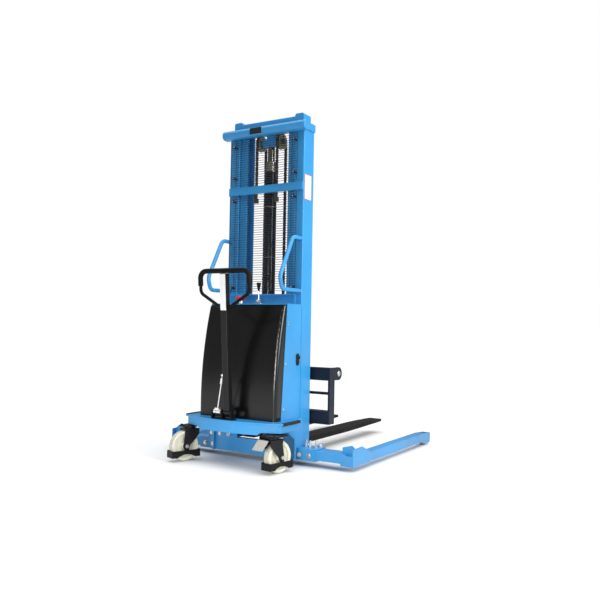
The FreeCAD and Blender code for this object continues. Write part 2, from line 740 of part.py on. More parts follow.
def chain_wraps():
    """The half turn of chain over each sheave."""
    wraps = []
    for side in (-1, 1):
        x = side * SHEAVE_X
        ends = [(x + reach, MAST_MID_Y, SHEAVE_Z) for reach in (-CHAIN_HALF_WIDTH, CHAIN_HALF_WIDTH)]
        ring = pipe(ends[0], ends[1], CHAIN_R[1], CHAIN_R[0])
        upper = box((x - 20, x + 20), (MAST_MID_Y - 80, MAST_MID_Y + 80), (SHEAVE_Z, SHEAVE_Z + 80))
        wraps.append(ring.common(upper))
    return group(wraps)


def chain_run(side, y_sign, low):
    """One straight run of leaf chain from its anchor up to the sheave."""
    x = side * SHEAVE_X
    y = sorted((MAST_MID_Y + y_sign * CHAIN_R[0], MAST_MID_Y + y_sign * CHAIN_R[1]))
    return box((x - CHAIN_HALF_WIDTH, x + CHAIN_HALF_WIDTH), y, (low, SHEAVE_Z))


def chain_rear_runs():
    return group([chain_run(side, -1, REAR_ANCHOR_Z) for side in (-1, 1)])


def chain_front_runs():
    return group([chain_run(side, 1, 545.0) for side in (-1, 1)])


def mast_rollers():
    """Guide rollers on stub axles at the top of the outer posts, running inside the inner sections."""
    z = 1960.0
    roller = pipe((208, MAST_MID_Y, z), (248, MAST_MID_Y, z), CARRIAGE_ROLLER_R, 14.05)
    return group(both_sides(roller))


def roller_stubs():
    """Stub axles of the mast guide rollers, fixed to the outer posts."""
    z = 1960.0
    stub = rod((204, MAST_MID_Y, z), (MAST_HALF - MAST_WEB, MAST_MID_Y, z), 14.0)
    shoulder = rod((250, MAST_MID_Y, z), (MAST_HALF - MAST_WEB, MAST_MID_Y, z), 20.0)
    return fuse([stub, shoulder])


# ---------------------------------------------------------------- carriage and forks
def carriage_frame():
    """Fork carriage: two box bars, side plates with round noses, roller plates and chain anchors."""
    y0 = CARRIAGE_REAR_Y
    half = CARRIAGE_HALF
    upper = box((-half, half), (y0, y0 + 44), UPPER_BAR_Z)
    lower = box((-half, half), (y0, y0 + 64), LOWER_BAR_Z)
    flag = prism([(y0, LOWER_BAR_Z[0]), (y0 + 64, LOWER_BAR_Z[0]), (y0 + 64, UPPER_BAR_Z[0]),
                  (FORK_SHAFT[0], UPPER_BAR_Z[0] - 2), (FORK_SHAFT[0], UPPER_BAR_Z[1]), (y0, UPPER_BAR_Z[1])],
                 "x", half - CARRIAGE_PLATE, half)
    shaft_y, shaft_z = FORK_SHAFT
    nose = rod((half - CARRIAGE_PLATE, shaft_y, shaft_z), (half, shaft_y, shaft_z), NOSE_R)
    tie_rod = rod((-half + 4, y0 + 34, 409), (half - 4, y0 + 34, 409), 9.0)
    roller_plate = box(ROLLER_PLATE_X, (26, y0), (LOWER_BAR_Z[0], UPPER_BAR_Z[1] - 8))
    stubs = [rod((ROLLER_PLATE_X[0], MAST_MID_Y, z), (187, MAST_MID_Y, z), 14.0) for z in CARRIAGE_ROLLER_Z]
    anchor = box((-ROLLER_PLATE_X[0], ROLLER_PLATE_X[0]), (103, 125), (500, 545))
    side = fuse([flag, nose])
    roller_sides = both_sides(fuse([roller_plate] + stubs))
    whole = fuse([upper, lower, tie_rod, anchor] + both_sides(side) + roller_sides)
    bore = rod((-half - 1, shaft_y, shaft_z), (half + 1, shaft_y, shaft_z), FORK_SHAFT_R)
    return whole.cut(bore)


def carriage_rollers(z):
    """A pair of carriage rollers inside the inner mast sections."""
    roller = pipe((159, MAST_MID_Y, z), (186, MAST_MID_Y, z), CARRIAGE_ROLLER_R, 14.05)
    return group(both_sides(roller))


def fork_shaft():
    """Round shaft across the carriage noses that the forks hang on."""
    y, z = FORK_SHAFT
    shaft = rod((-CARRIAGE_HALF - 3, y, z), (CARRIAGE_HALF + 3, y, z), FORK_SHAFT_R)
    ends = [e for e in shaft.Edges if abs(abs(e.CenterOfMass.x) - CARRIAGE_HALF - 3) < 0.01]
    return shaft.makeChamfer(2.0, ends)


def fork(x):
    """Forged L-shaped fork: eye on the shaft, offset shank and a blade that thins to its tip."""
    y, z = FORK_SHAFT
    heel_low = FORK_TOP - FORK_THICK
    side_view = [(SHANK_Y[0], heel_low + 14), (SHANK_Y[0] + 14, heel_low), (850.0, heel_low),
                 (FORK_TIP_Y, FORK_TOP - 23), (FORK_TIP_Y, FORK_TOP - 7), (1120.0, FORK_TOP),
                 (SHANK_Y[1] + 26, FORK_TOP), (SHANK_Y[1], FORK_TOP + 26), (SHANK_Y[1], z - 60),
                 (y + 34, z - 12), (y + 34, z + 12), (y, z + 36), (y - 34, z + 12), (y - 34, z - 12),
                 (SHANK_Y[0], z - 60)]
    slab = prism(side_view, "x", x - FORK_HALF, x + FORK_HALF)
    tip = FORK_HALF - 4.0
    plan = [(x - FORK_HALF, 0), (x + FORK_HALF, 0), (x + FORK_HALF, FORK_TIP_Y - 130), (x + tip, FORK_TIP_Y),
            (x - tip, FORK_TIP_Y), (x - FORK_HALF, FORK_TIP_Y - 130)]
    outline = rounded_prism(plan, [0, 0, 0, 24, 24, 0], "z", heel_low - 5, z + 60)
    return slab.common(outline).cut(rod((x - 80, y, z), (x + 80, y, z), FORK_SHAFT_R + 0.08))


# ---------------------------------------------------------------- tiller
def tiller_bracket():
    """Clevis on the deck with the tiller's pivot shaft, which also carries the stay."""
    y, z = TILLER_PIVOT
    base = rounded_box((-112, 44), (y - 22, y + 30), (DECK_TOP, DECK_TOP + 6), 8.0, "z")
    ears = []
    for x0 in (-42.0, 22.0):
        ear = prism([(y - 18, DECK_TOP + 6), (y + 24, DECK_TOP + 6), (y + 15, z + 8), (y - 15, z + 8)],
                    "x", x0, x0 + 8)
        crown = rod((x0, y, z), (x0 + 8, y, z), 17.0)
        ears.extend([ear, crown])
    ear_foot = DECK_TOP + 6
    ear_plate = prism([(y - 16, ear_foot), (y + 16, ear_foot), (y + 12, z), (y - 12, z)], "x", -112, -105)
    outer_ear = [ear_plate, rod((-112, y, z), (-105, y, z), 13.0)]
    shaft = rod((-118, y, z), (36, y, z), 8.0)
    return fuse([base, shaft] + ears + outer_ear)


def column_tube():
    """The tiller's upright rectangular tube, before it is leant back."""
    y, z = TILLER_PIVOT
    half_x, half_y = COLUMN_HALF
    top = z + TILLER_LENGTH - 2 * GRIP_R - 1
    return rounded_box((-half_x, half_x), (y - half_y, y + half_y), (z + 12, top), 4.0, "z")


def tiller_column():
    """Rectangular tube column with a pivot eye at its foot."""
    y, z = TILLER_PIVOT
    eye = rod((-21, y, z), (21, y, z), 16.0)
    return lean(fuse([column_tube(), eye]).cut(rod((-30, y, z), (30, y, z), 8.05)))


def tiller_handle():
    """Closed loop handle: thick grip over the top and upper sides, and thinner arms in to the column."""
    y, z = TILLER_PIVOT
    top = z + TILLER_LENGTH - GRIP_R
    side = LOOP_HALF
    points = [(-side, y, top), (side, y, top), (side, y, z + 694), (38, y, z + 612), (-38, y, z + 612),
              (-side, y, z + 694)]
    loop = bent_tube(points, [42, 42, 38, 16, 16, 38], LOOP_R, closed=True)
    path = [(-side, y, z + 735), (-side, y, top), (side, y, top), (side, y, z + 735)]
    grip = bent_tube(path, [0, 42, 42, 0], GRIP_R)
    return lean(fuse([loop, grip]).cut(column_tube()))


def tiller_stay():
    """Stay rod from the pivot shaft up to the column, with an adjusting sleeve and ball ends."""
    y, z = TILLER_PIVOT
    face = -COLUMN_HALF[0]
    foot = rod((-100, y, z), (-50, y, z), 13.0)
    start = V(-76, y, z + 10)
    end = V(face - 11, y, z + 214)
    along = end - start
    stay_rod = rod(start, end, 4.0)
    sleeve = rod(start + along * 0.76, start + along * 0.91, 9.0)
    ball = Part.makeSphere(9.5, end)
    stud = rod((face - 14, y, z + 214), (face, y, z + 214), 5.0)
    foot_block = box((-90, -62), (y - 9, y + 9), (z, z + 22))
    whole = fuse([foot, stay_rod, sleeve, ball, stud, foot_block]).cut(rod((-120, y, z), (-40, y, z), 8.05))
    return lean(whole)


# ---------------------------------------------------------------- console
def console_fittings():
    """Lever base with its pivot cheeks, and the sleeve of the emergency stop."""
    top = SHELF_Z[1]
    plate = rounded_box((LEVER_X - 33, LEVER_X + 33), (LEVER_Y - 22, LEVER_Y + 22), (top, top + 4), 5.0, "z")
    cheeks = []
    for side in (-1, 1):
        x = sorted((LEVER_X + side * 8, LEVER_X + side * 13))
        cheeks.append(box(x, (LEVER_Y - 9, LEVER_Y + 9), (top + 4, LEVER_Z + 8)))
    pin = rod((LEVER_X - 13, LEVER_Y, LEVER_Z), (LEVER_X + 13, LEVER_Y, LEVER_Z), 3.0)
    lever_base = fuse([plate, pin] + cheeks)
    sleeve = pipe((STOP_X, STOP_Y, top), (STOP_X, STOP_Y, top + 18), 17.0, 11.05)
    return group([lever_base, sleeve])


def control_lever():
    """Lift and lower lever: hub, chromed rod and a tapered knob."""
    hub = rod((LEVER_X - 7, LEVER_Y, LEVER_Z), (LEVER_X + 7, LEVER_Y, LEVER_Z), 8.0)
    stem = rod((LEVER_X, LEVER_Y, LEVER_Z), (LEVER_X, LEVER_Y, 1040), 4.0)
    knob = cone((LEVER_X, LEVER_Y, 1034), (LEVER_X, LEVER_Y, 1078), 7.0, 14.0)
    cap = cone((LEVER_X, LEVER_Y, 1078), (LEVER_X, LEVER_Y, 1084), 14.0, 9.0)
    bore = rod((LEVER_X - 9, LEVER_Y, LEVER_Z), (LEVER_X + 9, LEVER_Y, LEVER_Z), 3.05)
    return fuse([hub, stem, knob, cap]).cut(bore)


def stop_button():
    """Red mushroom head on its plunger."""
    plunger = rod((STOP_X, STOP_Y, SHELF_Z[1] + 8), (STOP_X, STOP_Y, SHELF_Z[1] + 30), 11.0)
    head = rod((STOP_X, STOP_Y, SHELF_Z[1] + 30), (STOP_X, STOP_Y, SHELF_Z[1] + 42), 31.0)
    dome = cone((STOP_X, STOP_Y, SHELF_Z[1] + 42), (STOP_X, STOP_Y, SHELF_Z[1] + 50), 31.0, 22.0)
    skirt = cone((STOP_X, STOP_Y, SHELF_Z[1] + 24), (STOP_X, STOP_Y, SHELF_Z[1] + 30), 18.0, 31.0)
    return fuse([plunger, head, dome, skirt])


# ---------------------------------------------------------------- casters
def caster_mount(x, pivot_y):
    """Fixed caster mounting: pedestal under the deck, plate with bolts, and the kingpin."""
    inward = 1 if x < 0 else -1
    pedestal_x = sorted((x - inward * 8, x + inward * 46))
    pedestal = box(pedestal_x, (-292.0, -256.0), (MOUNT_PLATE_Z[1], DECK_TOP - DECK_THICK))
    plate_x = sorted((x - inward * 48, x + inward * 52))
    plate = rounded_box(plate_x, (pivot_y - 48, max(pivot_y + 48, -250.0)), MOUNT_PLATE_Z, 8.0, "z")
    kingpin = rod((x, pivot_y, FORK_PLATE_Z[0] - 2), (x, pivot_y, MOUNT_PLATE_Z[0]), 10.0)
    head = rod((x, pivot_y, FORK_PLATE_Z[0] - 3), (x, pivot_y, FORK_PLATE_Z[0] - 0.5), 16.0)
    bolts = []
    for bolt_x in (x - 34.0, x + 34.0):
        seat = (bolt_x, pivot_y - 36, MOUNT_PLATE_Z[1])
        bolts.append(hexagon(seat, (bolt_x, pivot_y - 36, MOUNT_PLATE_Z[1] + 7), 8.0))
    return fuse([pedestal, plate, kingpin, head] + bolts)


def caster_mounts():
    return group([caster_mount(-CASTER_X, LEFT_PIVOT_Y), caster_mount(CASTER_X, RIGHT_PIVOT_Y)])


def caster_fork(x, pivot_y, axle_y):
    """Swivelling caster fork: race ring, top plate, two side plates, and the wheel's axle and nuts."""
    top = rounded_box((x - 44, x + 44), (pivot_y - 48, pivot_y + 48), FORK_PLATE_Z, 10.0, "z")
    race = rod((x, pivot_y, FORK_PLATE_Z[1]), (x, pivot_y, MOUNT_PLATE_Z[0] - 0.5), 32.0)
    cheeks = []
    for side in (-1, 1):
        xs = sorted((x + side * 28, x + side * 33))
        high = FORK_PLATE_Z[0]
        outline = [(pivot_y - 48, high), (pivot_y - 48, high - 26), (axle_y - 21, WHEEL_R),
                   (axle_y + 21, WHEEL_R), (pivot_y + 48, high - 26), (pivot_y + 48, high)]
        cheek = prism(outline, "x", xs[0], xs[1])
        boss = rod((xs[0], axle_y, WHEEL_R), (xs[1], axle_y, WHEEL_R), 21.0)
        cheeks.extend([cheek, boss])
    body = fuse([top, race] + cheeks)
    body = body.cut(rod((x, pivot_y, 180), (x, pivot_y, 210), 10.06))
    axle = rod((x - 45, axle_y, WHEEL_R), (x + 45, axle_y, WHEEL_R), 8.0)
    nuts = []
    for side in (-1, 1):
        seat = (x + side * 33, axle_y, WHEEL_R)
        nuts.append(hexagon(seat, (x + side * 42, axle_y, WHEEL_R), 12.0))
    return fuse([body, axle] + nuts)


def caster_wheel(x, axle_y):
    """Moulded wheel: crowned tread, thin web on both sides and a hub around the axle."""
    rim = 68.0
    half = WHEEL_HALF
    outline = [(8.06, -27.0), (22.0, -27.0), (22.0, -10.0), (rim, -14.0), (rim, -half + 4),
               (WHEEL_R - 7, -half), (WHEEL_R, -half + 9), (WHEEL_R, half - 9), (WHEEL_R - 7, half),
               (rim, half - 4), (rim, 14.0), (22.0, 10.0), (22.0, 27.0), (8.06, 27.0)]
    corners = [V(x + b, axle_y, WHEEL_R + a) for a, b in outline]
    corners.append(corners[0])
    face = Part.Face(Part.makePolygon(corners))
    return face.revolve(V(x, axle_y, WHEEL_R), V(1, 0, 0), 360)


def wheel_guard(x, axle_y):
    """Low foot guard: a ring of flat bar round the wheel, arched underneath, on two tabs."""
    y = (axle_y - GUARD_HALF_LENGTH, axle_y + GUARD_HALF_LENGTH)
    ring = rounded_box((x - 37, x + 37), y, GUARD_Z, 6.0, "z")
    ring = ring.cut(box((x - 33, x + 33), (y[0] + 4, y[1] - 4), (GUARD_Z[0] - 1, GUARD_Z[1] + 1)))
    arch = rod((x - 50, axle_y, -57), (x + 50, axle_y, -57), 100.0)
    tabs = []
    for side in (-1, 1):
        xs = sorted((x + side * 33, x + side * 37))
        tabs.append(box(xs, (axle_y - 16, axle_y + 16), (GUARD_Z[1] - 6, 77)))
    return fuse([ring.cut(arch)] + tabs)


def at_hinge(points):
    """Outline points given from the pedal's hinge, moved to it."""
    return [(PEDAL_HINGE[0] + a, PEDAL_HINGE[1] + b) for a, b in points]


def brake_pedal():
    """Foot brake pedal hinged behind the right caster: a sloping tread plate on a hinge tube."""
    y, z = PEDAL_HINGE
    x0, x1 = PEDAL_X
    tread = prism(at_hinge([(4.0, 18.0), (6.2, 15.9), (-41.7, -34.5), (-43.9, -32.4)]), "x", x0, x1)
    ribs = [prism(at_hinge([(6.0, 15.0), (8.0, 0.0), (-38.0, -34.0), (-42.0, -33.0)]), "x", x, x + 4)
            for x in (x0 + 10, x1 - 14)]
    tube = rod((x0 + 6.3, y, z), (x1 - 6.3, y, z), 9.0)
    return fuse([tread, tube] + ribs).cut(rod((x0 - 5, y, z), (x1 + 5, y, z), 5.05))


def brake_bracket():
    """Hinge pin of the brake pedal and the two lugs that hold it to the caster fork."""
    y, z = PEDAL_HINGE
    x0, x1 = PEDAL_X
    pin = rod((x0, y, z), (x1, y, z), 5.0)
    outline = at_hinge([(-5, -6), (-5, 2), (4, 6), (16, 12), (22, 12), (22, 4), (6, -6)])
    lugs = [prism(outline, "x", x, x + 5) for x in (x0 + 0.6, x1 - 5.6)]
    bar = box((x0 + 0.6, x1 - 0.6), (y + 16, y + 22), (z + 4, z + 12))
    return fuse([pin, bar] + lugs)


def braked_fork():
    """The right caster fork with the brake's bracket welded on."""
    return fuse([caster_fork(CASTER_X, RIGHT_PIVOT_Y, RIGHT_AXLE_Y), brake_bracket()])


# ---------------------------------------------------------------- straddle legs
def leg():
    """Right straddle leg: arm for the sleeve, corner plates, hollow leg and a forked tip."""
    arm = rounded_box((ARM_INNER_END, LEG_IN + 10), (-ARM_HALF_DEPTH, ARM_HALF_DEPTH), ARM_Z, 4.0, "x")
    tube = rounded_box((LEG_IN, LEG_OUT), (LEG_REAR_Y, LEG_TUBE_END_Y), LEG_Z, 5.0, "y")
    pad = box((LEG_IN - 22, LEG_IN + 5), (LEG_REAR_Y, -LEG_REAR_Y), (LEG_Z[0], ARM_Z[0] + 2))
    hollow = box((LEG_IN + 5, LEG_OUT - 5), (80, LEG_TUBE_END_Y + 1), (LEG_Z[0] + 5, LEG_Z[1] - 5))
    outer_plate = rounded_prism([(LEG_REAR_Y, LEG_Z[0]), (LEG_REAR_Y, 128), (62, 133), (178, LEG_Z[1] - 4),
                                 (178, LEG_Z[0])], [5, 8, 14, 10, 0], "x", LEG_OUT - 8, LEG_OUT)
    rib = prism([(LEG_IN - 26, ARM_Z[1] - 3), (LEG_IN - 26, 131), (LEG_IN + 34, 146), (LEG_OUT - 6, 130),
                 (LEG_OUT - 6, LEG_Z[1] - 3)], "y", -26, -18)
    brace = prism([(LEG_IN - 26, ARM_HALF_DEPTH - 4), (LEG_IN + 4, ARM_HALF_DEPTH - 4), (LEG_IN + 4, 112)],
                  "z", ARM_Z[1] - 8, ARM_Z[1])
    top_rib = prism([(60, 88), (60, 112), (118, 88)], "x", LEG_IN + 2, LEG_IN + 8)
    tip_sides = []
    for x0 in (LEG_IN, LEG_OUT - 6):
        outline = [(LEG_TUBE_END_Y - 40, LEG_Z[0]), (LEG_TUBE_END_Y + 26, TIP_LOW_Z), (LEG_TIP_Y, TIP_LOW_Z),
                   (LEG_TIP_Y, 80), (LEG_TUBE_END_Y - 40, LEG_Z[1])]
        tip_sides.append(rounded_prism(outline, [0, 10, 18, 6, 0], "x", x0, x0 + 6))
    nose = rounded_box((LEG_IN, LEG_OUT), (LEG_TIP_Y - 8, LEG_TIP_Y), (26, 80), 2.0, "y")
    shoulder = box((LEG_IN + 3, LEG_OUT - 3), (LEG_TUBE_END_Y - 10, LEG_TUBE_END_Y), LEG_Z)
    axle = rod((LEG_IN - 3, ROLLER_Y, ROLLER_R), (LEG_OUT, ROLLER_Y, ROLLER_R), 8.0)
    whole = fuse([arm, tube, pad, outer_plate, rib, brace, top_rib, nose] + tip_sides)
    return fuse([whole.cut(hollow), shoulder, axle])


def load_roller():
    """Right load roller with bearing bosses, turned from one profile."""
    x = (LEG_IN + LEG_OUT) / 2.0
    outline = [(8.06, -22), (15, -22), (15, -20), (ROLLER_R - 4, -20), (ROLLER_R, -16), (ROLLER_R, 16),
               (ROLLER_R - 4, 20), (15, 20), (15, 22), (8.06, 22)]
    corners = [V(x + along, ROLLER_Y, ROLLER_R + out) for out, along in outline]
    corners.append(corners[0])
    return Part.Face(Part.makePolygon(corners)).revolve(V(x, ROLLER_Y, ROLLER_R), V(1, 0, 0), 360)


# ---------------------------------------------------------------- the assembly
def stub_and_posts():
    """Outer posts with the guide roller stubs welded to their webs."""
    post = outer_mast_posts().Solids[0]
    if post.CenterOfMass.x < 0:
        post = mirror_x(post)
    return group(both_sides(fuse([post, roller_stubs()])))


NODES = {
    "base_beam": base_beam,
    "base_rear_plate": base_rear_plate,
    "deck": deck,
    "deck_edge_strips": deck_edge_strips,
    "base_bolts": base_bolts,
    "clamp_screws": clamp_screws,
    "outer_mast_posts": stub_and_posts,
    "mast_top_beam": mast_top_beam,
    "mast_middle_crossbar": mast_middle_crossbar,
    "mast_lower_crossmember": mast_lower_crossmember,
    "grab_handles": grab_handles,
    "guard_mesh": guard_mesh,
    "guard_clips": guard_clips,
    "rear_cover": rear_cover,
    "side_panels": side_panels,
    "bulkhead": bulkhead,
    "cover_screws": cover_screws,
    "charging_inlet": charging_inlet,
    "battery": battery,
    "oil_tank": oil_tank,
    "valve_block": valve_block,
    "pump_motor": pump_motor,
    "charger": charger,
    "hydraulic_hose": hydraulic_hose,
    "lift_cylinder": lift_cylinder,
    "cylinder_fittings": cylinder_fittings,
    "piston_rod": piston_rod,
    "inner_mast_posts": inner_mast_posts,
    "inner_mast_crosshead": inner_mast_crosshead,
    "sheave_bracket": sheave_bracket,
    "chain_sheaves": chain_sheaves,
    "chain_wraps": chain_wraps,
    "chain_rear_runs": chain_rear_runs,
    "chain_front_runs": chain_front_runs,
    "mast_rollers": mast_rollers,
    "carriage_frame": carriage_frame,
    "carriage_rollers_lower": lambda: carriage_rollers(CARRIAGE_ROLLER_Z[0]),
    "carriage_rollers_upper": lambda: carriage_rollers(CARRIAGE_ROLLER_Z[1]),
    "fork_shaft": fork_shaft,
    "fork_right": lambda: fork(RIGHT_FORK_X),
    "fork_left": lambda: fork(LEFT_FORK_X),
    "tiller_bracket": tiller_bracket,
    "tiller_column": tiller_column,
    "tiller_handle": tiller_handle,
    "tiller_stay": tiller_stay,
    "console_fittings": console_fittings,
    "control_lever": control_lever,
    "stop_button": stop_button,
    "caster_mounts": caster_mounts,
    "caster_fork_left": lambda: on_left_caster(caster_fork(-CASTER_X, LEFT_PIVOT_Y, LEFT_AXLE_Y)),
    "caster_fork_right": lambda: on_right_caster(braked_fork()),
    "caster_wheel_left": lambda: on_left_caster(caster_wheel(-CASTER_X, LEFT_AXLE_Y)),
    "caster_wheel_right": lambda: on_right_caster(caster_wheel(CASTER_X, RIGHT_AXLE_Y)),
    "wheel_guard_left": lambda: on_left_caster(wheel_guard(-CASTER_X, LEFT_AXLE_Y)),
    "wheel_guard_right": lambda: on_right_caster(wheel_guard(CASTER_X, RIGHT_AXLE_Y)),
    "brake_pedal": lambda: on_right_caster(brake_pedal()),
    "leg_right": leg,
    "leg_left": lambda: mirror_x(leg()),
    "load_roller_right": load_roller,
    "load_roller_left": lambda: mirror_x(load_roller()),
}

os.makedirs("parts", exist_ok=True)
for name, make in NODES.items():
    piece = make()
    piece.translate(V(0, -ORIGIN_Y, 0))
    if not piece.isValid():
        print("not valid:", name)
    extent = piece.BoundBox
    print("%-24s solids %3d  volume %10.0f  x %7.1f %7.1f  y %7.1f %7.1f  z %7.1f %7.1f" % (
        name, len(piece.Solids), piece.Volume, extent.XMin, extent.XMax, extent.YMin, extent.YMax,
        extent.ZMin, extent.ZMax))
    piece.exportStep("parts/" + name + ".step")
print("nodes:", len(NODES))
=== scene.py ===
"""Looks of the walkie stacker: materials, detail pieces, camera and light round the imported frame."""

import json
import math

import bmesh
import bpy
from mathutils import Matrix, Vector


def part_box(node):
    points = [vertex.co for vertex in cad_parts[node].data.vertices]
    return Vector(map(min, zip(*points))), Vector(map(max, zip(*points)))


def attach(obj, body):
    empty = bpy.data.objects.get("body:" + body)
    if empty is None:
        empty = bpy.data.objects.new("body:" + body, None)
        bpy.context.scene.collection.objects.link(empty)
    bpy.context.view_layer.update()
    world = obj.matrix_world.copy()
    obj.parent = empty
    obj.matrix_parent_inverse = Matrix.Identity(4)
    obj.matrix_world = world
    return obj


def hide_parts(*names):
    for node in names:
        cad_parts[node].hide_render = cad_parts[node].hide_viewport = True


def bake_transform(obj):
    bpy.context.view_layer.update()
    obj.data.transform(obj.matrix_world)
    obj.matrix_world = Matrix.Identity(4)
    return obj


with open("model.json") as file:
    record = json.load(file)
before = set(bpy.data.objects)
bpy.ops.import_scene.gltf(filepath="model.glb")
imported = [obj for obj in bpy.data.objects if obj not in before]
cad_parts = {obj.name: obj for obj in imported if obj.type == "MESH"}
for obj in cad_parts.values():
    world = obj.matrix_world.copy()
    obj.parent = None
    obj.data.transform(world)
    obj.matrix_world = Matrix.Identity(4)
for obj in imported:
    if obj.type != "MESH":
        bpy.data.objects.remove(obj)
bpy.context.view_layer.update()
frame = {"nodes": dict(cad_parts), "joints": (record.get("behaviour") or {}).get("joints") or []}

MM = 0.001


# ---------------------------------------------------------------- camera, light and floor
CAMERA_PLACE = (2.4216, -4.0528, 0.8270)
CAMERA_AZIMUTH = 31.238
CAMERA_PITCH = -2.103
CAMERA_ROLL = 1.006
CAMERA_LENS = 41.19
CAMERA_SENSOR = 36.0

SURROUND_TINT = (0.98, 0.99, 1.0, 1.0)
SURROUND_STRENGTH = 0.28
WHITE = (1.0, 1.0, 1.0, 1.0)
FLOOR_HALF = 40.0


def add_camera():
    """The photograph's viewpoint: right of the operator, just under a metre up, looking slightly upwards."""
    azimuth = math.radians(CAMERA_AZIMUTH)
    pitch = math.radians(CAMERA_PITCH)
    roll = math.radians(CAMERA_ROLL)
    ahead = Vector((
        -math.sin(azimuth) * math.cos(pitch),
        math.cos(azimuth) * math.cos(pitch),
        -math.sin(pitch)))
    level_right = Vector((math.cos(azimuth), math.sin(azimuth), 0.0))
    level_up = level_right.cross(ahead)
    right = level_right * math.cos(roll) + level_up * math.sin(roll)
    up = level_up * math.cos(roll) - level_right * math.sin(roll)
    data = bpy.data.cameras.new("camera")
    data.lens = CAMERA_LENS
    data.sensor_width = CAMERA_SENSOR
    data.clip_end = 100.0
    camera = bpy.data.objects.new("camera", data)
    place = Vector(CAMERA_PLACE)
    camera.matrix_world = Matrix((
        (right.x, up.x, -ahead.x, place.x),
        (right.y, up.y, -ahead.y, place.y),
        (right.z, up.z, -ahead.z, place.z),
        (0.0, 0.0, 0.0, 1.0)))
    bpy.context.scene.collection.objects.link(camera)
    bpy.context.scene.camera = camera


def add_light(name, kind, power, place, target, **settings):
    """A lamp at a place, pointed at a target."""
    data = bpy.data.lights.new(name, kind)
    data.energy = power
    for key, value in settings.items():
        setattr(data, key, value)
    light = bpy.data.objects.new(name, data)
    light.location = place
    light.rotation_euler = (Vector(target) - Vector(place)).to_track_quat("-Z", "Y").to_euler()
    bpy.context.scene.collection.objects.link(light)


def add_surround():
    """Even surround: white to the camera, and weaker and slightly cool where it lights the machine."""
    world = bpy.data.worlds.new("surround")
    world.use_nodes = True
    bpy.context.scene.world = world
    tree = world.node_tree
    tree.nodes.clear()
    output = tree.nodes.new("ShaderNodeOutputWorld")
    lit = tree.nodes.new("ShaderNodeBackground")
    lit.inputs["Color"].default_value = SURROUND_TINT
    lit.inputs["Strength"].default_value = SURROUND_STRENGTH
    seen = tree.nodes.new("ShaderNodeBackground")
    seen.inputs["Color"].default_value = WHITE
    seen.inputs["Strength"].default_value = 1.0
    path = tree.nodes.new("ShaderNodeLightPath")
    mix = tree.nodes.new("ShaderNodeMixShader")
    tree.links.new(path.outputs["Is Camera Ray"], mix.inputs[0])
    tree.links.new(lit.outputs[0], mix.inputs[1])
    tree.links.new(seen.outputs[0], mix.inputs[2])
    tree.links.new(mix.outputs[0], output.inputs["Surface"])


def add_lights():
    """A large soft key from the right, a low soft spot on the base, and a very wide overhead light."""
    add_light("key_right", "AREA", 34.0, (4.6, -0.9, 2.6), (0.2, -0.4, 1.6),
              shape="RECTANGLE", size=2.6, size_y=3.2, spread=math.radians(56.0))
    add_light("low_rear", "SPOT", 660.0, (1.2, -5.4, 0.9), (0.1, -0.5, 0.15),
              spot_size=math.radians(24.0), spot_blend=1.0, shadow_soft_size=0.6)
    add_light("overhead", "SUN", 3.4, (0.4, 0.0, 4.0), (0.0, 0.0, 0.0), angle=math.radians(95.0))


def add_floor():
    """Wide pale matt floor."""
    mesh = bpy.data.meshes.new("floor")
    half = FLOOR_HALF
    corners = [(-half, -half, 0), (half, -half, 0), (half, half, 0), (-half, half, 0)]
    mesh.from_pydata(corners, [], [(0, 1, 2, 3)])
    floor = bpy.data.objects.new("floor", mesh)
    bpy.context.scene.collection.objects.link(floor)
    look = Look("floor_pale")
    cloud = look.noise(look.place(), 3.0, 2.0)
    look.set("Base Color", look.ramp(cloud, [(0.3, (0.77, 0.77, 0.77)), (0.7, (0.79, 0.79, 0.79))]))
    look.set("Roughness", 0.9)
    look.set("Specular IOR Level", 0.0)
    floor.data.materials.append(look.material)


# ---------------------------------------------------------------- material building
DARK_STEEL = (0.050, 0.046, 0.036)
DUST = (0.20, 0.19, 0.17)


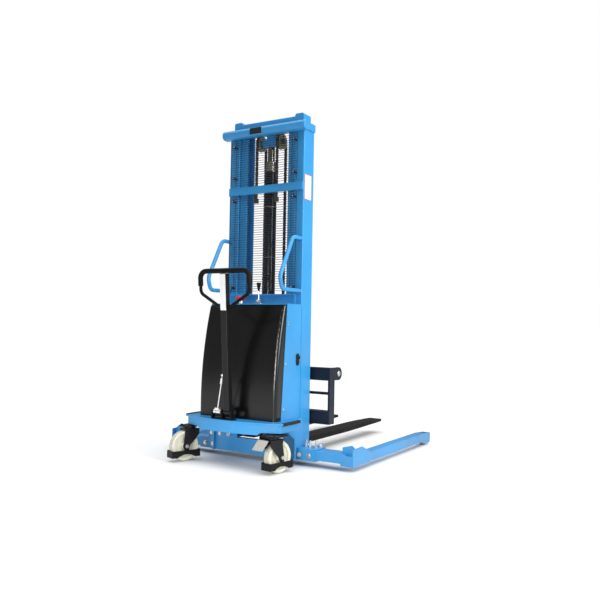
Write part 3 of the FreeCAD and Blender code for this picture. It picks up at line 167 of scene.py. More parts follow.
class Look:
    """A node material around one Principled shader."""

    def __init__(self, name):
        self.material = bpy.data.materials.new(name)
        self.material.use_nodes = True
        self.tree = self.material.node_tree
        self.tree.nodes.clear()
        output = self.tree.nodes.new("ShaderNodeOutputMaterial")
        self.shader = self.tree.nodes.new("ShaderNodeBsdfPrincipled")
        self.tree.links.new(self.shader.outputs[0], output.inputs["Surface"])

    def node(self, kind, **settings):
        made = self.tree.nodes.new(kind)
        for key, value in settings.items():
            setattr(made, key, value)
        return made

    def feed(self, socket, value):
        """Link an output socket, or set a plain value."""
        if isinstance(value, bpy.types.NodeSocket):
            self.tree.links.new(value, socket)
        elif isinstance(value, tuple) and len(value) == 3 and socket.type == "RGBA":
            socket.default_value = (*value, 1.0)
        else:
            socket.default_value = value

    def set(self, name, value):
        self.feed(self.shader.inputs[name], value)

    def place(self, stretch=(1.0, 1.0, 1.0)):
        """Position on the object, in metres, optionally stretched along its axes."""
        coordinates = self.node("ShaderNodeTexCoord")
        mapping = self.node("ShaderNodeMapping")
        mapping.inputs["Scale"].default_value = stretch
        self.tree.links.new(coordinates.outputs["Object"], mapping.inputs["Vector"])
        return mapping.outputs["Vector"]

    def axis(self, letter):
        split = self.node("ShaderNodeSeparateXYZ")
        self.tree.links.new(self.place(), split.inputs[0])
        return split.outputs[letter]

    def noise(self, where, scale, detail=2.0, rough=0.5):
        made = self.node("ShaderNodeTexNoise")
        self.feed(made.inputs["Vector"], where)
        made.inputs["Scale"].default_value = scale
        made.inputs["Detail"].default_value = detail
        made.inputs["Roughness"].default_value = rough
        return made.outputs["Fac"]

    def ramp(self, factor, stops):
        made = self.node("ShaderNodeValToRGB")
        self.tree.links.new(factor, made.inputs["Fac"])
        ramp = made.color_ramp
        while len(ramp.elements) < len(stops):
            ramp.elements.new(0.5)
        for element, (position, colour) in zip(ramp.elements, stops):
            element.position = position
            element.color = (*colour, 1.0)
        return made.outputs["Color"]

    def between(self, value, low, high, to_low=0.0, to_high=1.0):
        """Rescale a value from one range to another, clamped."""
        made = self.node("ShaderNodeMapRange")
        self.tree.links.new(value, made.inputs["Value"])
        for name, number in (("From Min", low), ("From Max", high), ("To Min", to_low), ("To Max", to_high)):
            made.inputs[name].default_value = number
        return made.outputs["Result"]

    def calc(self, operation, a, b=0.0):
        made = self.node("ShaderNodeMath", operation=operation)
        self.feed(made.inputs[0], a)
        self.feed(made.inputs[1], b)
        return made.outputs[0]

    def mix(self, factor, a, b):
        made = self.node("ShaderNodeMix", data_type="RGBA")
        self.feed(made.inputs[0], factor)
        self.feed(made.inputs[6], a)
        self.feed(made.inputs[7], b)
        return made.outputs[2]

    def vector_calc(self, operation, a, b=None):
        made = self.node("ShaderNodeVectorMath", operation=operation)
        self.feed(made.inputs[0], a)
        if b is not None:
            self.feed(made.inputs[3 if operation == "SCALE" else 1], b)
        return made.outputs["Value" if operation in ("DOT_PRODUCT", "LENGTH") else "Vector"]

    def along_axle(self, centre, axis):
        """Distance along an axle line from its centre, and distance out from the line."""
        offset = self.vector_calc("SUBTRACT", self.place(), tuple(centre))
        along = self.vector_calc("DOT_PRODUCT", offset, tuple(axis))
        direction = self.node("ShaderNodeCombineXYZ")
        for socket, number in zip(direction.inputs, axis):
            socket.default_value = number
        lengthwise = self.vector_calc("SCALE", direction.outputs[0], along)
        across = self.vector_calc("SUBTRACT", offset, lengthwise)
        return along, self.vector_calc("LENGTH", across)

    def edges(self, radius):
        """One along convex edges, zero on flats; and the normal with its edges rounded off."""
        soft = self.node("ShaderNodeBevel", samples=4)
        soft.inputs["Radius"].default_value = radius
        geometry = self.node("ShaderNodeNewGeometry")
        agreement = self.vector_calc("DOT_PRODUCT", soft.outputs["Normal"], geometry.outputs["Normal"])
        return self.between(agreement, 0.99, 0.86), soft.outputs["Normal"]

    def bump(self, height, strength, distance, normal=None):
        made = self.node("ShaderNodeBump")
        made.inputs["Strength"].default_value = strength
        made.inputs["Distance"].default_value = distance
        self.tree.links.new(height, made.inputs["Height"])
        if normal is not None:
            self.tree.links.new(normal, made.inputs["Normal"])
        self.tree.links.new(made.outputs["Normal"], self.shader.inputs["Normal"])


def shade(colour, factor):
    return tuple(min(1.0, c * factor) for c in colour)


def around(colour, drift, low=0.3, high=0.7):
    """Ramp stops from a little darker than a colour to a little lighter."""
    return [(low, shade(colour, 1.0 - drift)), (high, shade(colour, 1.0 + drift))]


def paint(name, colour, rough=(0.30, 0.40), coat=0.12, chip=None, drift=0.08, dust=0.22, gloss=0.35,
          patch=None):
    """Sprayed enamel: slight tone drift, orange peel, rubbed edges, dust low down.

    patch gives a mask of the part of the piece that is dark steel instead."""
    look = Look(name)
    where = look.place()
    tone = look.ramp(look.noise(where, 2.3, 3.0), around(colour, drift, 0.35, 0.65))
    edge, soft = look.edges(0.0022)
    scuff = look.between(look.noise(where, 38.0, 5.0, 0.7), 0.50, 0.66)
    rubbed = look.calc("MULTIPLY", edge, scuff)
    tone = look.mix(look.calc("MULTIPLY", rubbed, 0.55), tone, chip or shade(colour, 1.6))
    low = look.between(look.axis("Z"), 0.0, 0.34, dust, 0.0)
    grime = look.calc("MULTIPLY", low, look.between(look.noise(where, 9.0, 5.0, 0.65), 0.38, 0.72))
    tone = look.mix(grime, tone, DUST)
    if patch:
        tone = look.mix(patch(look), tone, DARK_STEEL)
    look.set("Base Color", tone)
    look.set("Specular IOR Level", gloss)
    look.set("Roughness", look.between(look.noise(where, 17.0, 4.0), 0.3, 0.7, *rough))
    look.set("Coat Weight", coat)
    look.set("Coat Roughness", 0.12)
    look.bump(look.noise(where, 520.0, 2.0), 0.10, 0.0006, soft)
    return look.material


def moulded(name, colour, rough=(0.42, 0.55), grain=900.0, depth=0.25, distance=0.0004, drift=0.10,
            gloss=0.25):
    """Moulded plastic or rubber with a fine grain, and a painted highlight along its convex edges."""
    look = Look(name)
    where = look.place()
    tone = look.ramp(look.noise(where, 6.0, 4.0), around(colour, drift))
    edge, soft = look.edges(0.0012)
    # Convex edges mixed towards a lighter tone: a painted edge highlight
    look.set("Base Color", look.mix(look.calc("MULTIPLY", edge, 0.25), tone, shade(colour, 1.9)))
    look.set("Specular IOR Level", gloss)
    look.set("Roughness", look.between(look.noise(where, 30.0, 3.0), 0.3, 0.7, *rough))
    look.bump(look.noise(where, grain, 2.0, 0.6), depth, distance, soft)
    return look.material


def glossy_cover(name):
    """Deep black glossy moulding with faint waviness and fine swirls."""
    look = Look(name)
    where = look.place()
    stops = [(0.3, (0.0012, 0.0012, 0.0014)), (0.7, (0.0024, 0.0024, 0.0026))]
    look.set("Base Color", look.ramp(look.noise(where, 4.0, 3.0), stops))
    swirls = look.noise(look.place((1.0, 1.0, 0.4)), 11.0, 5.0)
    look.set("Roughness", look.between(swirls, 0.3, 0.75, 0.21, 0.27))
    look.set("Specular IOR Level", 0.48)
    wave = look.noise(where, 7.0, 1.0)
    fine = look.noise(where, 420.0, 2.0)
    total = look.calc("ADD", wave, look.calc("MULTIPLY", fine, 0.02))
    look.bump(total, 0.025, 0.002)
    return look.material


def metal(name, colour, rough=(0.25, 0.42), stretch=(1.0, 1.0, 1.0), fine=260.0, depth=0.12, stain=0.12,
          edge_highlight_gain=1.25, metallic=1.0):
    """Bare or plated metal, optionally brushed along one axis by stretching the noise; its convex edges are
    lighter, a painted edge highlight.
    """
    look = Look(name)
    where = look.place(stretch)
    tone = look.ramp(look.noise(where, 30.0, 4.0), around(colour, stain))
    edge, soft = look.edges(0.0010)
    # Convex edges lighter by the edge gain: a painted edge highlight
    look.set("Base Color", look.mix(look.calc("MULTIPLY", edge, 0.5), tone, shade(colour, edge_highlight_gain)))
    look.set("Metallic", metallic)
    look.set("Roughness", look.between(look.noise(where, 55.0, 4.0), 0.3, 0.7, *rough))
    look.bump(look.noise(where, fine, 3.0), depth, 0.0003, soft)
    return look.material


def cast_nylon(name, centre, axis, tread_radius):
    """Cream cast nylon: faint mottling, scuffed and greyer on the tread."""
    look = Look(name)
    where = look.place()
    base = look.ramp(look.noise(where, 14.0, 4.0), [(0.3, (0.60, 0.585, 0.465)), (0.7, (0.67, 0.66, 0.55))])
    _, radius = look.along_axle(centre, axis)
    tread = look.between(radius, tread_radius - 6 * MM, tread_radius - 1 * MM)
    worn = look.between(look.noise(where, 60.0, 5.0, 0.7), 0.35, 0.70, 0.15, 0.75)
    scuff = look.calc("MULTIPLY", tread, worn)
    look.set("Base Color", look.mix(scuff, base, (0.30, 0.28, 0.24)))
    look.set("Specular IOR Level", 0.4)
    look.set("Subsurface Weight", 0.08)
    look.set("Subsurface Radius", (0.01, 0.008, 0.005))
    look.set("Roughness", look.between(look.noise(where, 22.0, 3.0), 0.3, 0.7, 0.34, 0.50))
    _, soft = look.edges(0.0015)
    look.bump(look.noise(where, 180.0, 3.0), 0.15, 0.0005, soft)
    return look.material


def two_part(name, selector, first, second):
    """One node's two finishes, chosen by where the surface is: selector gives 0 for first and 1 for second.

    first and second are (colour, metallic, roughness)."""
    look = Look(name)
    where = look.place()
    which = selector(look)
    cloud = look.noise(where, 40.0, 4.0)
    tones = [look.ramp(cloud, around(colour, 0.12)) for colour, _, _ in (first, second)]
    look.set("Base Color", look.mix(which, *tones))
    look.set("Metallic", look.between(which, 0.0, 1.0, first[1], second[1]))
    look.set("Specular IOR Level", 0.25)
    grain = look.between(look.noise(where, 90.0, 3.0), 0.3, 0.7, -0.05, 0.05)
    look.set("Roughness", look.calc("ADD", look.between(which, 0.0, 1.0, first[2], second[2]), grain))
    _, soft = look.edges(0.0012)
    look.bump(look.noise(where, 500.0, 2.0), 0.12, 0.0004, soft)
    return look.material


# ---------------------------------------------------------------- mesh building
def new_piece(name, mesh_builder, body, material, replaced=(), angle=35.0):
    """Turn a bmesh into a piece that rides on a body."""
    mesh = bpy.data.meshes.new(name)
    mesh_builder.normal_update()
    mesh_builder.to_mesh(mesh)
    mesh_builder.free()
    mesh.shade_smooth()
    mesh.set_sharp_from_angle(angle=math.radians(angle))
    piece = bpy.data.objects.new(name, mesh)
    bpy.context.scene.collection.objects.link(piece)
    mesh.materials.append(material)
    if isinstance(body, str):
        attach(piece, body)
    else:
        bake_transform(piece)
    if replaced:
        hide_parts(*replaced)
    return piece


def add_loop_rings(builder, rings, close_ends=True):
    """Skin a list of equal vertex rings, and cap both ends."""
    verts = [[builder.verts.new(p) for p in ring] for ring in rings]
    count = len(rings[0])
    for a, b in zip(verts, verts[1:]):
        for k in range(count):
            builder.faces.new((a[k], a[(k + 1) % count], b[(k + 1) % count], b[k]))
    if close_ends:
        builder.faces.new(list(reversed(verts[0])))
        builder.faces.new(verts[-1])


def ring(centre, direction, radius, count):
    direction = Vector(direction).normalized()
    side = direction.orthogonal().normalized()
    other = direction.cross(side)
    points = []
    for k in range(count):
        angle = 2 * math.pi * k / count
        points.append(Vector(centre) + side * (radius * math.cos(angle)) + other * (radius * math.sin(angle)))
    return points


def add_rod(builder, start, end, radius, count=10, ease=0.0):
    """A round bar; ease chamfers its two ends."""
    start, end = Vector(start), Vector(end)
    along = (end - start).normalized()
    stations = [(start, radius), (end, radius)]
    if ease > 0.0:
        stations = [(start, radius - ease), (start + along * ease, radius),
                    (end - along * ease, radius), (end, radius - ease)]
    add_loop_rings(builder, [ring(p, along, r, count) for p, r in stations])


def add_lathe(builder, base, direction, profile, count=40):
    """Turned shape: profile is a list of (distance along, radius) from base, closed at both ends."""
    base = Vector(base)
    direction = Vector(direction).normalized()
    add_loop_rings(builder, [ring(base + direction * a, direction, max(r, 1e-5), count) for a, r in profile])


def add_plate(builder, outline, thickness_from, thickness_to):
    """A flat plate: outline points give (y, z), and it spans two x values."""
    low = [Vector((thickness_from, y, z)) for y, z in outline]
    high = [Vector((thickness_to, y, z)) for y, z in outline]
    add_loop_rings(builder, [low, high])


def rounded_outline(half_a, half_b, radius, steps=5):
    """Corner-rounded rectangle about the origin, as (a, b) points."""
    points = []
    for sign_a, sign_b, start in ((1, 1, 0), (-1, 1, 90), (-1, -1, 180), (1, -1, 270)):
        for k in range(steps + 1):
            angle = math.radians(start + 90.0 * k / steps)
            points.append((sign_a * (half_a - radius) + radius * math.cos(angle),
                           sign_b * (half_b - radius) + radius * math.sin(angle)))
    return points


def add_card(builder, centre, across, upward, half_a, half_b, thickness, radius):
    """A thin plate with rounded corners, standing off its surface along across x upward."""
    across, upward = Vector(across).normalized(), Vector(upward).normalized()
    out = across.cross(upward)
    rings = []
    for lift, shrink in ((0.0, 0.0), (thickness * 0.6, 0.0), (thickness, thickness * 0.4)):
        outline = rounded_outline(half_a - shrink, half_b - shrink, max(radius - shrink, 0.0002))
        rings.append([Vector(centre) + across * a + upward * b + out * lift for a, b in outline])
    add_loop_rings(builder, rings)


# ---------------------------------------------------------------- the finishes of the CAD nodes
BLUE = (0.032, 0.255, 0.550)
BLUE_CHIP = (0.30, 0.48, 0.62)
PLATED = (0.62, 0.61, 0.60)
BAR_HEIGHT = 50 * MM

blue_paint = paint("blue_enamel", BLUE, chip=BLUE_CHIP)
carriage_paint = paint("carriage_enamel", (0.007, 0.011, 0.022), rough=(0.32, 0.44), coat=0.0,
                       chip=(0.06, 0.07, 0.08), gloss=0.16)
fork_paint = paint("fork_enamel", (0.0050, 0.0046, 0.0040), rough=(0.45, 0.60), coat=0.0,
                   chip=(0.10, 0.09, 0.08), drift=0.25, dust=0.04, gloss=0.08)
black_paint = paint("black_enamel", (0.0050, 0.0050, 0.0055), rough=(0.32, 0.44), coat=0.0,
                    chip=(0.07, 0.07, 0.07), dust=0.03, gloss=0.16)
column_paint = paint("column_enamel", (0.0055, 0.0055, 0.006), rough=(0.30, 0.42), coat=0.0,
                     chip=(0.09, 0.09, 0.09), gloss=0.3)
cylinder_paint = paint("cylinder_enamel", (0.006, 0.0055, 0.005), rough=(0.18, 0.30), coat=0.0,
                       chip=(0.08, 0.07, 0.06), gloss=0.45)
cover_gloss = glossy_cover("cover_gloss")
black_plastic = moulded("black_plastic", (0.016, 0.016, 0.017))
grip_plastic = moulded("grip_plastic", (0.0045, 0.0040, 0.0040), rough=(0.38, 0.50), grain=500.0, depth=0.35,
                       gloss=0.12)
red_plastic = moulded("red_plastic", (0.56, 0.035, 0.016), rough=(0.22, 0.34), depth=0.10)
rubber = moulded("black_rubber", (0.018, 0.018, 0.018), rough=(0.62, 0.78), grain=300.0, depth=0.5,
                 distance=0.0008)
battery_case = moulded("battery_case", (0.05, 0.05, 0.055), grain=300.0)
tank_plastic = moulded("tank_plastic", (0.72, 0.72, 0.64), rough=(0.35, 0.48), grain=120.0)
chrome = metal("chrome_plate", (0.82, 0.82, 0.83), rough=(0.08, 0.16), depth=0.03, metallic=0.7)
# The piston rod's chrome is coloured dark brown: a painted reflection of its dark surroundings
rod_chrome_painted_reflection = metal("rod_chrome_painted_reflection", (0.27, 0.25, 0.22), rough=(0.10, 0.20), stretch=(1.0, 1.0, 0.1),
                   depth=0.05)
gland_steel = metal("gland_steel", (0.34, 0.30, 0.24), rough=(0.26, 0.40))
zinc = metal("zinc_plate", (0.66, 0.65, 0.63), rough=(0.24, 0.40))
pedal_steel = metal("pedal_plate", (0.44, 0.44, 0.40), rough=(0.30, 0.46), stretch=(8.0, 1.0, 1.0),
                    metallic=0.45)
roller_steel = metal("roller_steel", (0.42, 0.42, 0.43), rough=(0.22, 0.36))
# The chain plates' edges get a strong painted highlight
chain_steel = metal("chain_steel", (0.075, 0.070, 0.058), rough=(0.30, 0.50), stain=0.35, edge_highlight_gain=3.0)
sheave_iron = metal("sheave_iron", (0.30, 0.28, 0.19), rough=(0.34, 0.52), stain=0.3, edge_highlight_gain=1.6,
                    metallic=0.6)
cast_aluminium = metal("cast_aluminium", (0.55, 0.56, 0.58), rough=(0.38, 0.55), fine=160.0, depth=0.3)
wire_paint = paint("guard_wire", (0.008, 0.018, 0.040), rough=(0.3, 0.42), coat=0.0, drift=0.2, dust=0.0)
# Painted shadow colour for the panel seams: the blue paint as it looks in shade
seam_shade = moulded("seam_shade", (0.010, 0.055, 0.110), rough=(0.5, 0.6))

FINISH = {
    blue_paint: ["base_beam", "base_rear_plate", "deck", "outer_mast_posts", "mast_top_beam",
                 "mast_lower_crossmember", "grab_handles", "side_panels", "bulkhead", "inner_mast_posts",
                 "inner_mast_crosshead", "leg_right", "leg_left"],
    carriage_paint: ["carriage_frame"],
    fork_paint: ["fork_right", "fork_left"],
    black_paint: ["pump_motor", "tiller_bracket", "caster_mounts", "wheel_guard_left", "wheel_guard_right"],
    column_paint: ["tiller_column"],
    cylinder_paint: ["lift_cylinder"],
    cover_gloss: ["rear_cover"],
    black_plastic: ["charging_inlet"],
    grip_plastic: ["tiller_handle"],
    rubber: ["deck_edge_strips", "hydraulic_hose"],
    battery_case: ["battery"],
    tank_plastic: ["oil_tank"],
    chrome: ["tiller_stay"],
    rod_chrome_painted_reflection: ["piston_rod"],
    gland_steel: ["cylinder_fittings"],
    zinc: ["base_bolts", "clamp_screws", "cover_screws", "fork_shaft", "console_fittings"],
    pedal_steel: ["brake_pedal"],
    roller_steel: ["mast_rollers", "carriage_rollers_lower", "carriage_rollers_upper"],
    sheave_iron: ["chain_sheaves"],
    cast_aluminium: ["valve_block", "charger"],
}


def node_centre(node):
    low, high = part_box(node)
    return (low + high) / 2.0


def joint_line(name):
    """A joint's place and the direction of its axis."""
    for joint in frame["joints"]:
        if joint["name"] == name:
            return Vector(joint["pos_m"]), Vector(joint["axis"])


def finish_node(node, material):
    slots = frame["nodes"][node].data.materials
    if len(slots) == 0:
        slots.append(material)
    for k in range(len(slots)):
        slots[k] = material


def finish_casters():
    """Cream wheels and rollers, and black caster forks with plated nuts outside their cheeks."""
    cheek_face = 33.2 * MM
    nut_reach = 16.1 * MM
    step = 0.1 * MM
    for side in ("left", "right"):
        place, axis = joint_line(side + "_wheel_roll")
        finish_node("caster_wheel_" + side, cast_nylon("caster_nylon_" + side, place, axis, place.z))
        roller = node_centre("load_roller_" + side)
        tyre = cast_nylon("roller_nylon_" + side, roller, (1.0, 0.0, 0.0), roller.z)
        finish_node("load_roller_" + side, tyre)

        def nuts(look, place=place, axis=axis):
            along, out = look.along_axle(place, axis)
            outside = look.between(look.calc("ABSOLUTE", along), cheek_face - step, cheek_face + step)
            near_axle = look.between(out, nut_reach + step, nut_reach - step)
            return look.calc("MULTIPLY", outside, near_axle)

        black_and_plated = two_part("caster_fork_finish_" + side, nuts, ((0.008, 0.008, 0.009), 0.0, 0.38),
                                    (PLATED, 1.0, 0.30))
        finish_node("caster_fork_" + side, black_and_plated)


def finish_mast_fittings():
    """Blue pieces with bare steel ends: the crossbar's chain anchors and the sheave bracket's axle."""
    step = 0.2 * MM
    bar_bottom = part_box("mast_middle_crossbar")[1].z - BAR_HEIGHT - 0.5 * MM
    axle_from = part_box("chain_sheaves")[1].x

    def anchors(look):
        return look.between(look.axis("Z"), bar_bottom, bar_bottom - step)

    def axle_ends(look):
        return look.between(look.calc("ABSOLUTE", look.axis("X")), axle_from, axle_from + step)

    finish_node("mast_middle_crossbar", paint("crossbar_enamel", BLUE, chip=BLUE_CHIP, patch=anchors))
    finish_node("sheave_bracket", paint("bracket_enamel", BLUE, chip=BLUE_CHIP, patch=axle_ends))


def finish_guard_clips():
    """Black knobs with a plated centre on their rear face."""
    step = 0.1 * MM
    knob_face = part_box("guard_mesh")[0].y - 8.2 * MM

    def knob_centres(look):
        return look.between(look.axis("Y"), knob_face + step, knob_face - step)

    clips = two_part("clip_finish", knob_centres, ((0.012, 0.012, 0.012), 0.0, 0.40), (PLATED, 1.0, 0.28))
    finish_node("guard_clips", clips)


def finish_nodes():
    for material, nodes in FINISH.items():
        for node in nodes:
            finish_node(node, material)
    finish_casters()
    finish_mast_fittings()
    finish_guard_clips()


# ---------------------------------------------------------------- leaf chains
PITCH = 15.875 * MM
CHAIN_HALF_WIDTH = 9.5 * MM
LEAF = 1.7 * MM
PIN_RADIUS = 2.3 * MM
PIN_HEAD = 0.8 * MM
END_GAP = 3 * MM


def chain_link(a, b, waist=0.62, reach=5.6 * MM, steps=6):
    """Figure-eight plate outline round two pins, as (y, z) points."""
    a, b = Vector(a), Vector(b)
    along = (b - a).normalized()
    middle = (a + b) / 2.0
    points = []
    for centre, heading in ((b, along), (a, -along)):
        side = Vector((-heading.y, heading.x))
        for k in range(steps + 1):
            angle = math.radians(-80 + 160.0 * k / steps)
            points.append(centre + heading * (reach * math.cos(angle)) + side * (reach * math.sin(angle)))
        points.append(middle + side * (reach * waist))
    return [(p.x, p.y) for p in points]


def add_chain(builder, pins, middle_x):
    """Leaf chain through a row of pins: plates in alternating lacing, and riveted pin heads."""
    outer = [-1.0, -0.5, 0.0, 0.5, 1.0]
    inner = [-0.75, -0.25, 0.25, 0.75]
    room = CHAIN_HALF_WIDTH - LEAF / 2.0 - PIN_HEAD
    for k in range(len(pins) - 1):
        outline = chain_link(pins[k], pins[k + 1])
        for share in (outer if k % 2 == 0 else inner):
            x = middle_x + share * room
            add_plate(builder, outline, x - LEAF / 2.0, x + LEAF / 2.0)
    left, right = middle_x - CHAIN_HALF_WIDTH, middle_x + CHAIN_HALF_WIDTH
    for y, z in pins:
        add_rod(builder, (left, y, z), (right, y, z), PIN_RADIUS, 8, 0.4 * MM)


def straight_pins(y, low, high):
    count = int(round((high - low) / PITCH))
    return [(y, high + (low - high) * k / count) for k in range(count + 1)]


def make_chains():
    """Both leaf chains: anchored rear runs, the turns over the sheaves, and front runs to the carriage."""
    low_r, high_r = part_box("chain_rear_runs")
    low_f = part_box("chain_front_runs")[0]
    middle_x = high_r.x - CHAIN_HALF_WIDTH
    rear_y = node_centre("chain_rear_runs").y
    front_y = node_centre("chain_front_runs").y
    centre_y = (rear_y + front_y) / 2.0
    radius = (front_y - rear_y) / 2.0
    axle_z = high_r.z
    rear, front, wrap = bmesh.new(), bmesh.new(), bmesh.new()
    links = 10
    turn = []
    for k in range(links + 1):
        angle = math.pi * k / links
        turn.append((centre_y - radius * math.cos(angle), axle_z + radius * math.sin(angle)))
    for side in (-1, 1):
        add_chain(rear, straight_pins(rear_y, low_r.z + END_GAP, axle_z), side * middle_x)
        add_chain(front, straight_pins(front_y, low_f.z + END_GAP, axle_z), side * middle_x)
        add_chain(wrap, turn, side * middle_x)
    rear_bodies = ("chassis", "inner_mast", (0, rear_y, low_r.z), (0, rear_y, axle_z))
    front_bodies = ("carriage", "inner_mast", (0, front_y, low_f.z), (0, front_y, axle_z))
    new_piece("leaf_chain_rear", rear, rear_bodies, chain_steel, ["chain_rear_runs"])
    new_piece("leaf_chain_front", front, front_bodies, chain_steel, ["chain_front_runs"])
    new_piece("leaf_chain_over_sheaves", wrap, "inner_mast", chain_steel, ["chain_wraps"])


# ---------------------------------------------------------------- guard grille
WIRE = 1.55 * MM
WIRE_PITCH = 14.8 * MM
UPRIGHT_INSET = 39.5 * MM


def make_guard():
    """Welded round-wire grille in two panels, above and below the middle crossbar."""
    low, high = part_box("guard_mesh")
    y = (low.y + high.y) / 2.0
    row_y = y + 0.6 * MM
    upright_y = y - 1.2 * MM
    bar_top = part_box("mast_middle_crossbar")[1].z
    panels = ((bar_top + 10 * MM, high.z), (low.z, bar_top - BAR_HEIGHT - 10 * MM))
    builder = bmesh.new()
    for bottom, top in panels:
        span = top - bottom - 2 * WIRE
        rows = int(round(span / WIRE_PITCH))
        for k in range(rows + 1):
            z = bottom + WIRE + span * k / rows
            add_rod(builder, (low.x, row_y, z), (high.x, row_y, z), WIRE, 8, 0.5 * MM)
        for x in (low.x + WIRE, low.x + UPRIGHT_INSET, high.x - UPRIGHT_INSET, high.x - WIRE):
            add_rod(builder, (x, upright_y, bottom), (x, upright_y, top), WIRE * 1.15, 8, 0.5 * MM)
    new_piece("guard_grille", builder, "chassis", wire_paint, ["guard_mesh"])


# ---------------------------------------------------------------- console
KNOB_PROFILE = [(0, 5.5), (1, 6.8), (8, 7.4), (20, 9.2), (32, 11.8), (40, 13.4), (44, 14.0), (47, 13.8),
                (49, 12.4), (50, 9.0), (50.4, 4.0), (50.4, 0.2)]
MUSHROOM_PROFILE = [(0, 10.9), (15.7, 10.9), (16, 17.5), (20, 27.0), (22.5, 30.3), (25, 31.0), (30, 31.0),
                    (34, 30.2), (37.5, 27.5), (40, 22.5), (41.2, 15.0), (41.6, 8.0), (41.8, 0.2)]
COLLAR_PROFILE = [(0, 4.2), (0, 6.5), (5, 6.5), (5, 4.2)]


def in_metres(profile):
    return [(along * MM, radius * MM) for along, radius in profile]


def make_lever():
    """Control lever: cross hub, plated rod, collar and a knob that widens upwards."""
    low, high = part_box("control_lever")
    x, y, _ = node_centre("control_lever")
    hub_z = low.z + 8 * MM
    rod_part = bmesh.new()
    add_rod(rod_part, (x - 7 * MM, y, hub_z), (x + 7 * MM, y, hub_z), 8 * MM, 28, 1 * MM)
    add_rod(rod_part, (x, y, hub_z), (x, y, high.z - 46 * MM), 4 * MM, 20)
    add_lathe(rod_part, (x, y, high.z - 56 * MM), (0, 0, 1), in_metres(COLLAR_PROFILE), 24)
    new_piece("lever_rod", rod_part, "lever", chrome)
    knob = bmesh.new()
    knob_height = KNOB_PROFILE[-1][0] * MM
    add_lathe(knob, (x, y, high.z - knob_height), (0, 0, 1), in_metres(KNOB_PROFILE))
    new_piece("lever_knob", knob, "lever", grip_plastic, ["control_lever"])


def make_stop_button():
    """Red mushroom head on a stem that fits inside the sleeve when pressed."""
    x, y, _ = node_centre("stop_button")
    head = bmesh.new()
    add_lathe(head, (x, y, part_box("stop_button")[0].z), (0, 0, 1), in_metres(MUSHROOM_PROFILE), 64)
    new_piece("stop_mushroom", head, "stop", red_plastic, ["stop_button"])


# ---------------------------------------------------------------- weld beads and a painted seam shadow
FLANGE_X = 208 * MM
CROSSMEMBER_HEIGHT = 59 * MM
HANDLE_TUBE = 12.5 * MM


def bead_rings(points, radius):
    """Rippled rings along a path: every other ring is full, the rest are waisted, the two ends are small."""
    rings = []
    last = len(points) - 1
    for k, point in enumerate(points):
        heading = points[min(k + 1, last)] - points[max(k - 1, 0)]
        share = 0.35 if k in (0, last) else (1.0 if k % 2 else 0.80)
        rings.append(ring(point, heading, radius * share, 7))
    return rings


def add_bead(builder, start, end, radius=2.2 * MM):
    """Straight weld bead between two points."""
    start, end = Vector(start), Vector(end)
    steps = max(4, 2 * int((end - start).length / (4.4 * MM)))
    add_loop_rings(builder, bead_rings([start.lerp(end, k / steps) for k in range(steps + 1)], radius))


def add_round_bead(builder, centre, direction, radius, bead=2.0 * MM, count=44):
    """Weld bead round a tube's foot, as a closed rippled ring."""
    path = [Vector(p) for p in ring(centre, direction, radius, count)]
    rings = []
    for k, point in enumerate(path):
        heading = path[(k + 1) % count] - path[k - 1]
        out = (point - Vector(centre)).normalized()
        up = heading.normalized().cross(out)
        size = bead * (1.0 if k % 2 else 0.80)
        turns = [math.pi * n / 3.0 for n in range(6)]
        rings.append([point + out * (size * math.cos(a)) + up * (size * math.sin(a)) for a in turns])
    add_loop_rings(builder, rings + [rings[0]], close_ends=False)
    bmesh.ops.remove_doubles(builder, verts=builder.verts, dist=1e-6)


def make_mast_welds():
    """Beads where the mast's two cross members and the handles are welded to the posts."""
    face_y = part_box("outer_mast_posts")[0].y
    bar_y = face_y - 1 * MM
    clear = 1.2 * MM
    builder = bmesh.new()
    heights = {"mast_middle_crossbar": BAR_HEIGHT, "mast_lower_crossmember": CROSSMEMBER_HEIGHT}
    for node, height in heights.items():
        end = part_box(node)[1]
        top, bottom = end.z, end.z - height
        for side in (-1, 1):
            end_x = side * (end.x + clear)
            add_bead(builder, (end_x, bar_y, bottom), (end_x, bar_y, top))
            for z in (bottom - clear, top + clear):
                add_bead(builder, (side * FLANGE_X, bar_y, z), (side * end.x, bar_y, z))
    low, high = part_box("grab_handles")
    foot_y = face_y - 0.6 * MM
    for side in (-1, 1):
        for z in (low.z + 16.7 * MM, high.z - 17.5 * MM):
            foot = (side * (high.x - HANDLE_TUBE), foot_y, z)
            add_round_bead(builder, foot, (0, 1, 0), HANDLE_TUBE + 0.8 * MM)
    new_piece("mast_welds", builder, "chassis", blue_paint, angle=60.0)


def make_leg_welds():
    """One bead on each leg, along the joint between its arm and its tube."""
    for name, side in (("right", 1), ("left", -1)):
        low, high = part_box("leg_" + name)
        outer = max(abs(low.x), abs(high.x))
        joint_x = side * (outer - 49 * MM)
        joint_z = low.z + 79 * MM
        arm_y = low.y + 58 * MM
        reach = 54 * MM
        builder = bmesh.new()
        add_bead(builder, (joint_x, arm_y - reach, joint_z), (joint_x, arm_y + reach, joint_z))
        new_piece("leg_welds_" + name, builder, name + "_leg", blue_paint, angle=60.0)


def make_seam_shadows():
    """Painted seam shadow: a thin dark blue strip where each housing side panel meets the mast post, standing
    in for the shade in the gap.
    """
    low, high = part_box("side_panels")
    half_height = (high.z - low.z) / 2.0
    builder = bmesh.new()
    for side in (-1, 1):
        middle = (side * high.x, high.y - 1.3 * MM, (low.z + high.z) / 2.0)
        add_card(builder, middle, (0, side, 0), (0, 0, 1), 1.1 * MM, half_height, 0.3 * MM, 0.4 * MM)
    # The strip is painted shade: a dark sheet over the seam in place of the gap's shadow
    new_piece("panel_seam_shadows", builder, "chassis", seam_shade)


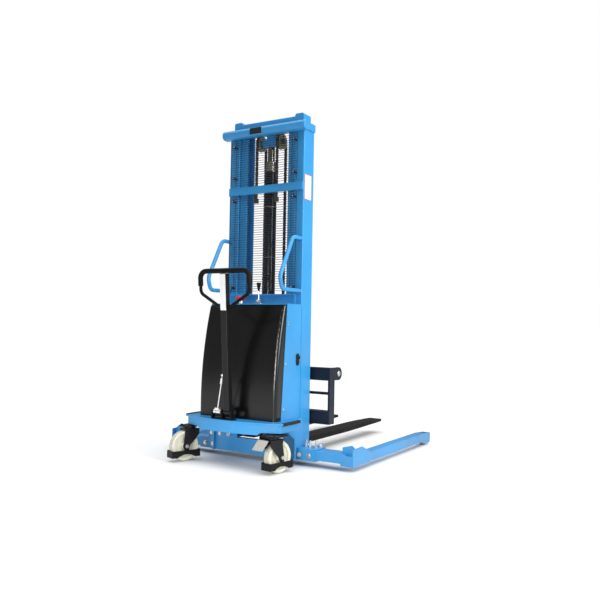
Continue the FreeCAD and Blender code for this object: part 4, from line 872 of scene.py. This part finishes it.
# ---------------------------------------------------------------- blank labels and plates
FOOT_STEP = 4 * MM
BEAM_DEPTH = 54 * MM
COLUMN_HALF = 19 * MM
COLUMN_LEAN = 4.5


def vinyl(name, colour, rough=(0.34, 0.44), **finish):
    """Printed film: nearly smooth."""
    return moulded(name, colour, rough=rough, grain=250.0, depth=0.08, **finish)


def make_mast_label():
    """Blank label with a thin border, on the right post's side, level with the middle crossbar.

    The post's foot stands FOOT_STEP outside its side face, so the face is that far inside the box."""
    post_low, post_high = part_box("outer_mast_posts")
    label_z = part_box("mast_middle_crossbar")[1].z - 28 * MM
    place = Vector((post_high.x - FOOT_STEP, post_low.y + 52 * MM, label_z))
    border_thickness = 0.5 * MM
    border = bmesh.new()
    add_card(border, place, (0, 1, 0), (0, 0, 1), 43 * MM, 80 * MM, border_thickness, 5 * MM)
    edge = vinyl("label_border", (0.30, 0.07, 0.14))
    new_piece("mast_label_border", border, "chassis", edge)
    face = bmesh.new()
    front = place + Vector((border_thickness, 0, 0))
    add_card(face, front, (0, 1, 0), (0, 0, 1), 39 * MM, 76 * MM, 0.3 * MM, 3 * MM)
    # Greyer than the tiller label's white vinyl: painted shade, because the post's side takes the strong key
    # light
    paper = vinyl("mast_label_vinyl_painted_shade", (0.60, 0.585, 0.59), drift=0.05)
    new_piece("mast_label", face, "chassis", paper)


def make_data_plate():
    """Blank dark plate on the top beam's rounded rear."""
    beam_low, beam_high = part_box("mast_top_beam")
    rear_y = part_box("outer_mast_posts")[0].y - BEAM_DEPTH - 0.1 * MM
    middle = (-48 * MM, rear_y, (beam_low.z + beam_high.z) / 2.0 - 1 * MM)
    plate = bmesh.new()
    add_card(plate, middle, (1, 0, 0), (0, 0, 1), 44 * MM, 20 * MM, 1.2 * MM, 3 * MM)
    dark = vinyl("plate_face", (0.018, 0.020, 0.022), rough=(0.28, 0.40))
    new_piece("data_plate", plate, "chassis", dark)


def make_tiller_label():
    """Blank white strip on the tiller column's rear face, which leans back a little at rest."""
    pivot, _ = joint_line("tiller_tilt")
    lean = math.radians(COLUMN_LEAN)
    upward = Vector((0, -math.sin(lean), math.cos(lean)))
    out = Vector((0, -math.cos(lean), -math.sin(lean)))
    middle = pivot + upward * 697 * MM + out * (COLUMN_HALF + 0.05 * MM)
    strip = bmesh.new()
    add_card(strip, middle, (1, 0, 0), upward, 20 * MM, 104 * MM, 0.5 * MM, 3 * MM)
    paper = vinyl("label_vinyl", (0.82, 0.82, 0.81), rough=(0.30, 0.42), drift=0.05)
    new_piece("tiller_label", strip, "tiller", paper)


# ---------------------------------------------------------------- build
add_camera()
add_surround()
add_lights()
add_floor()
bpy.context.scene.view_settings.view_transform = "Standard"
finish_nodes()
make_chains()
make_guard()
make_lever()
make_stop_button()
make_mast_welds()
make_leg_welds()
make_seam_shadows()
make_mast_label()
make_data_plate()
make_tiller_label()
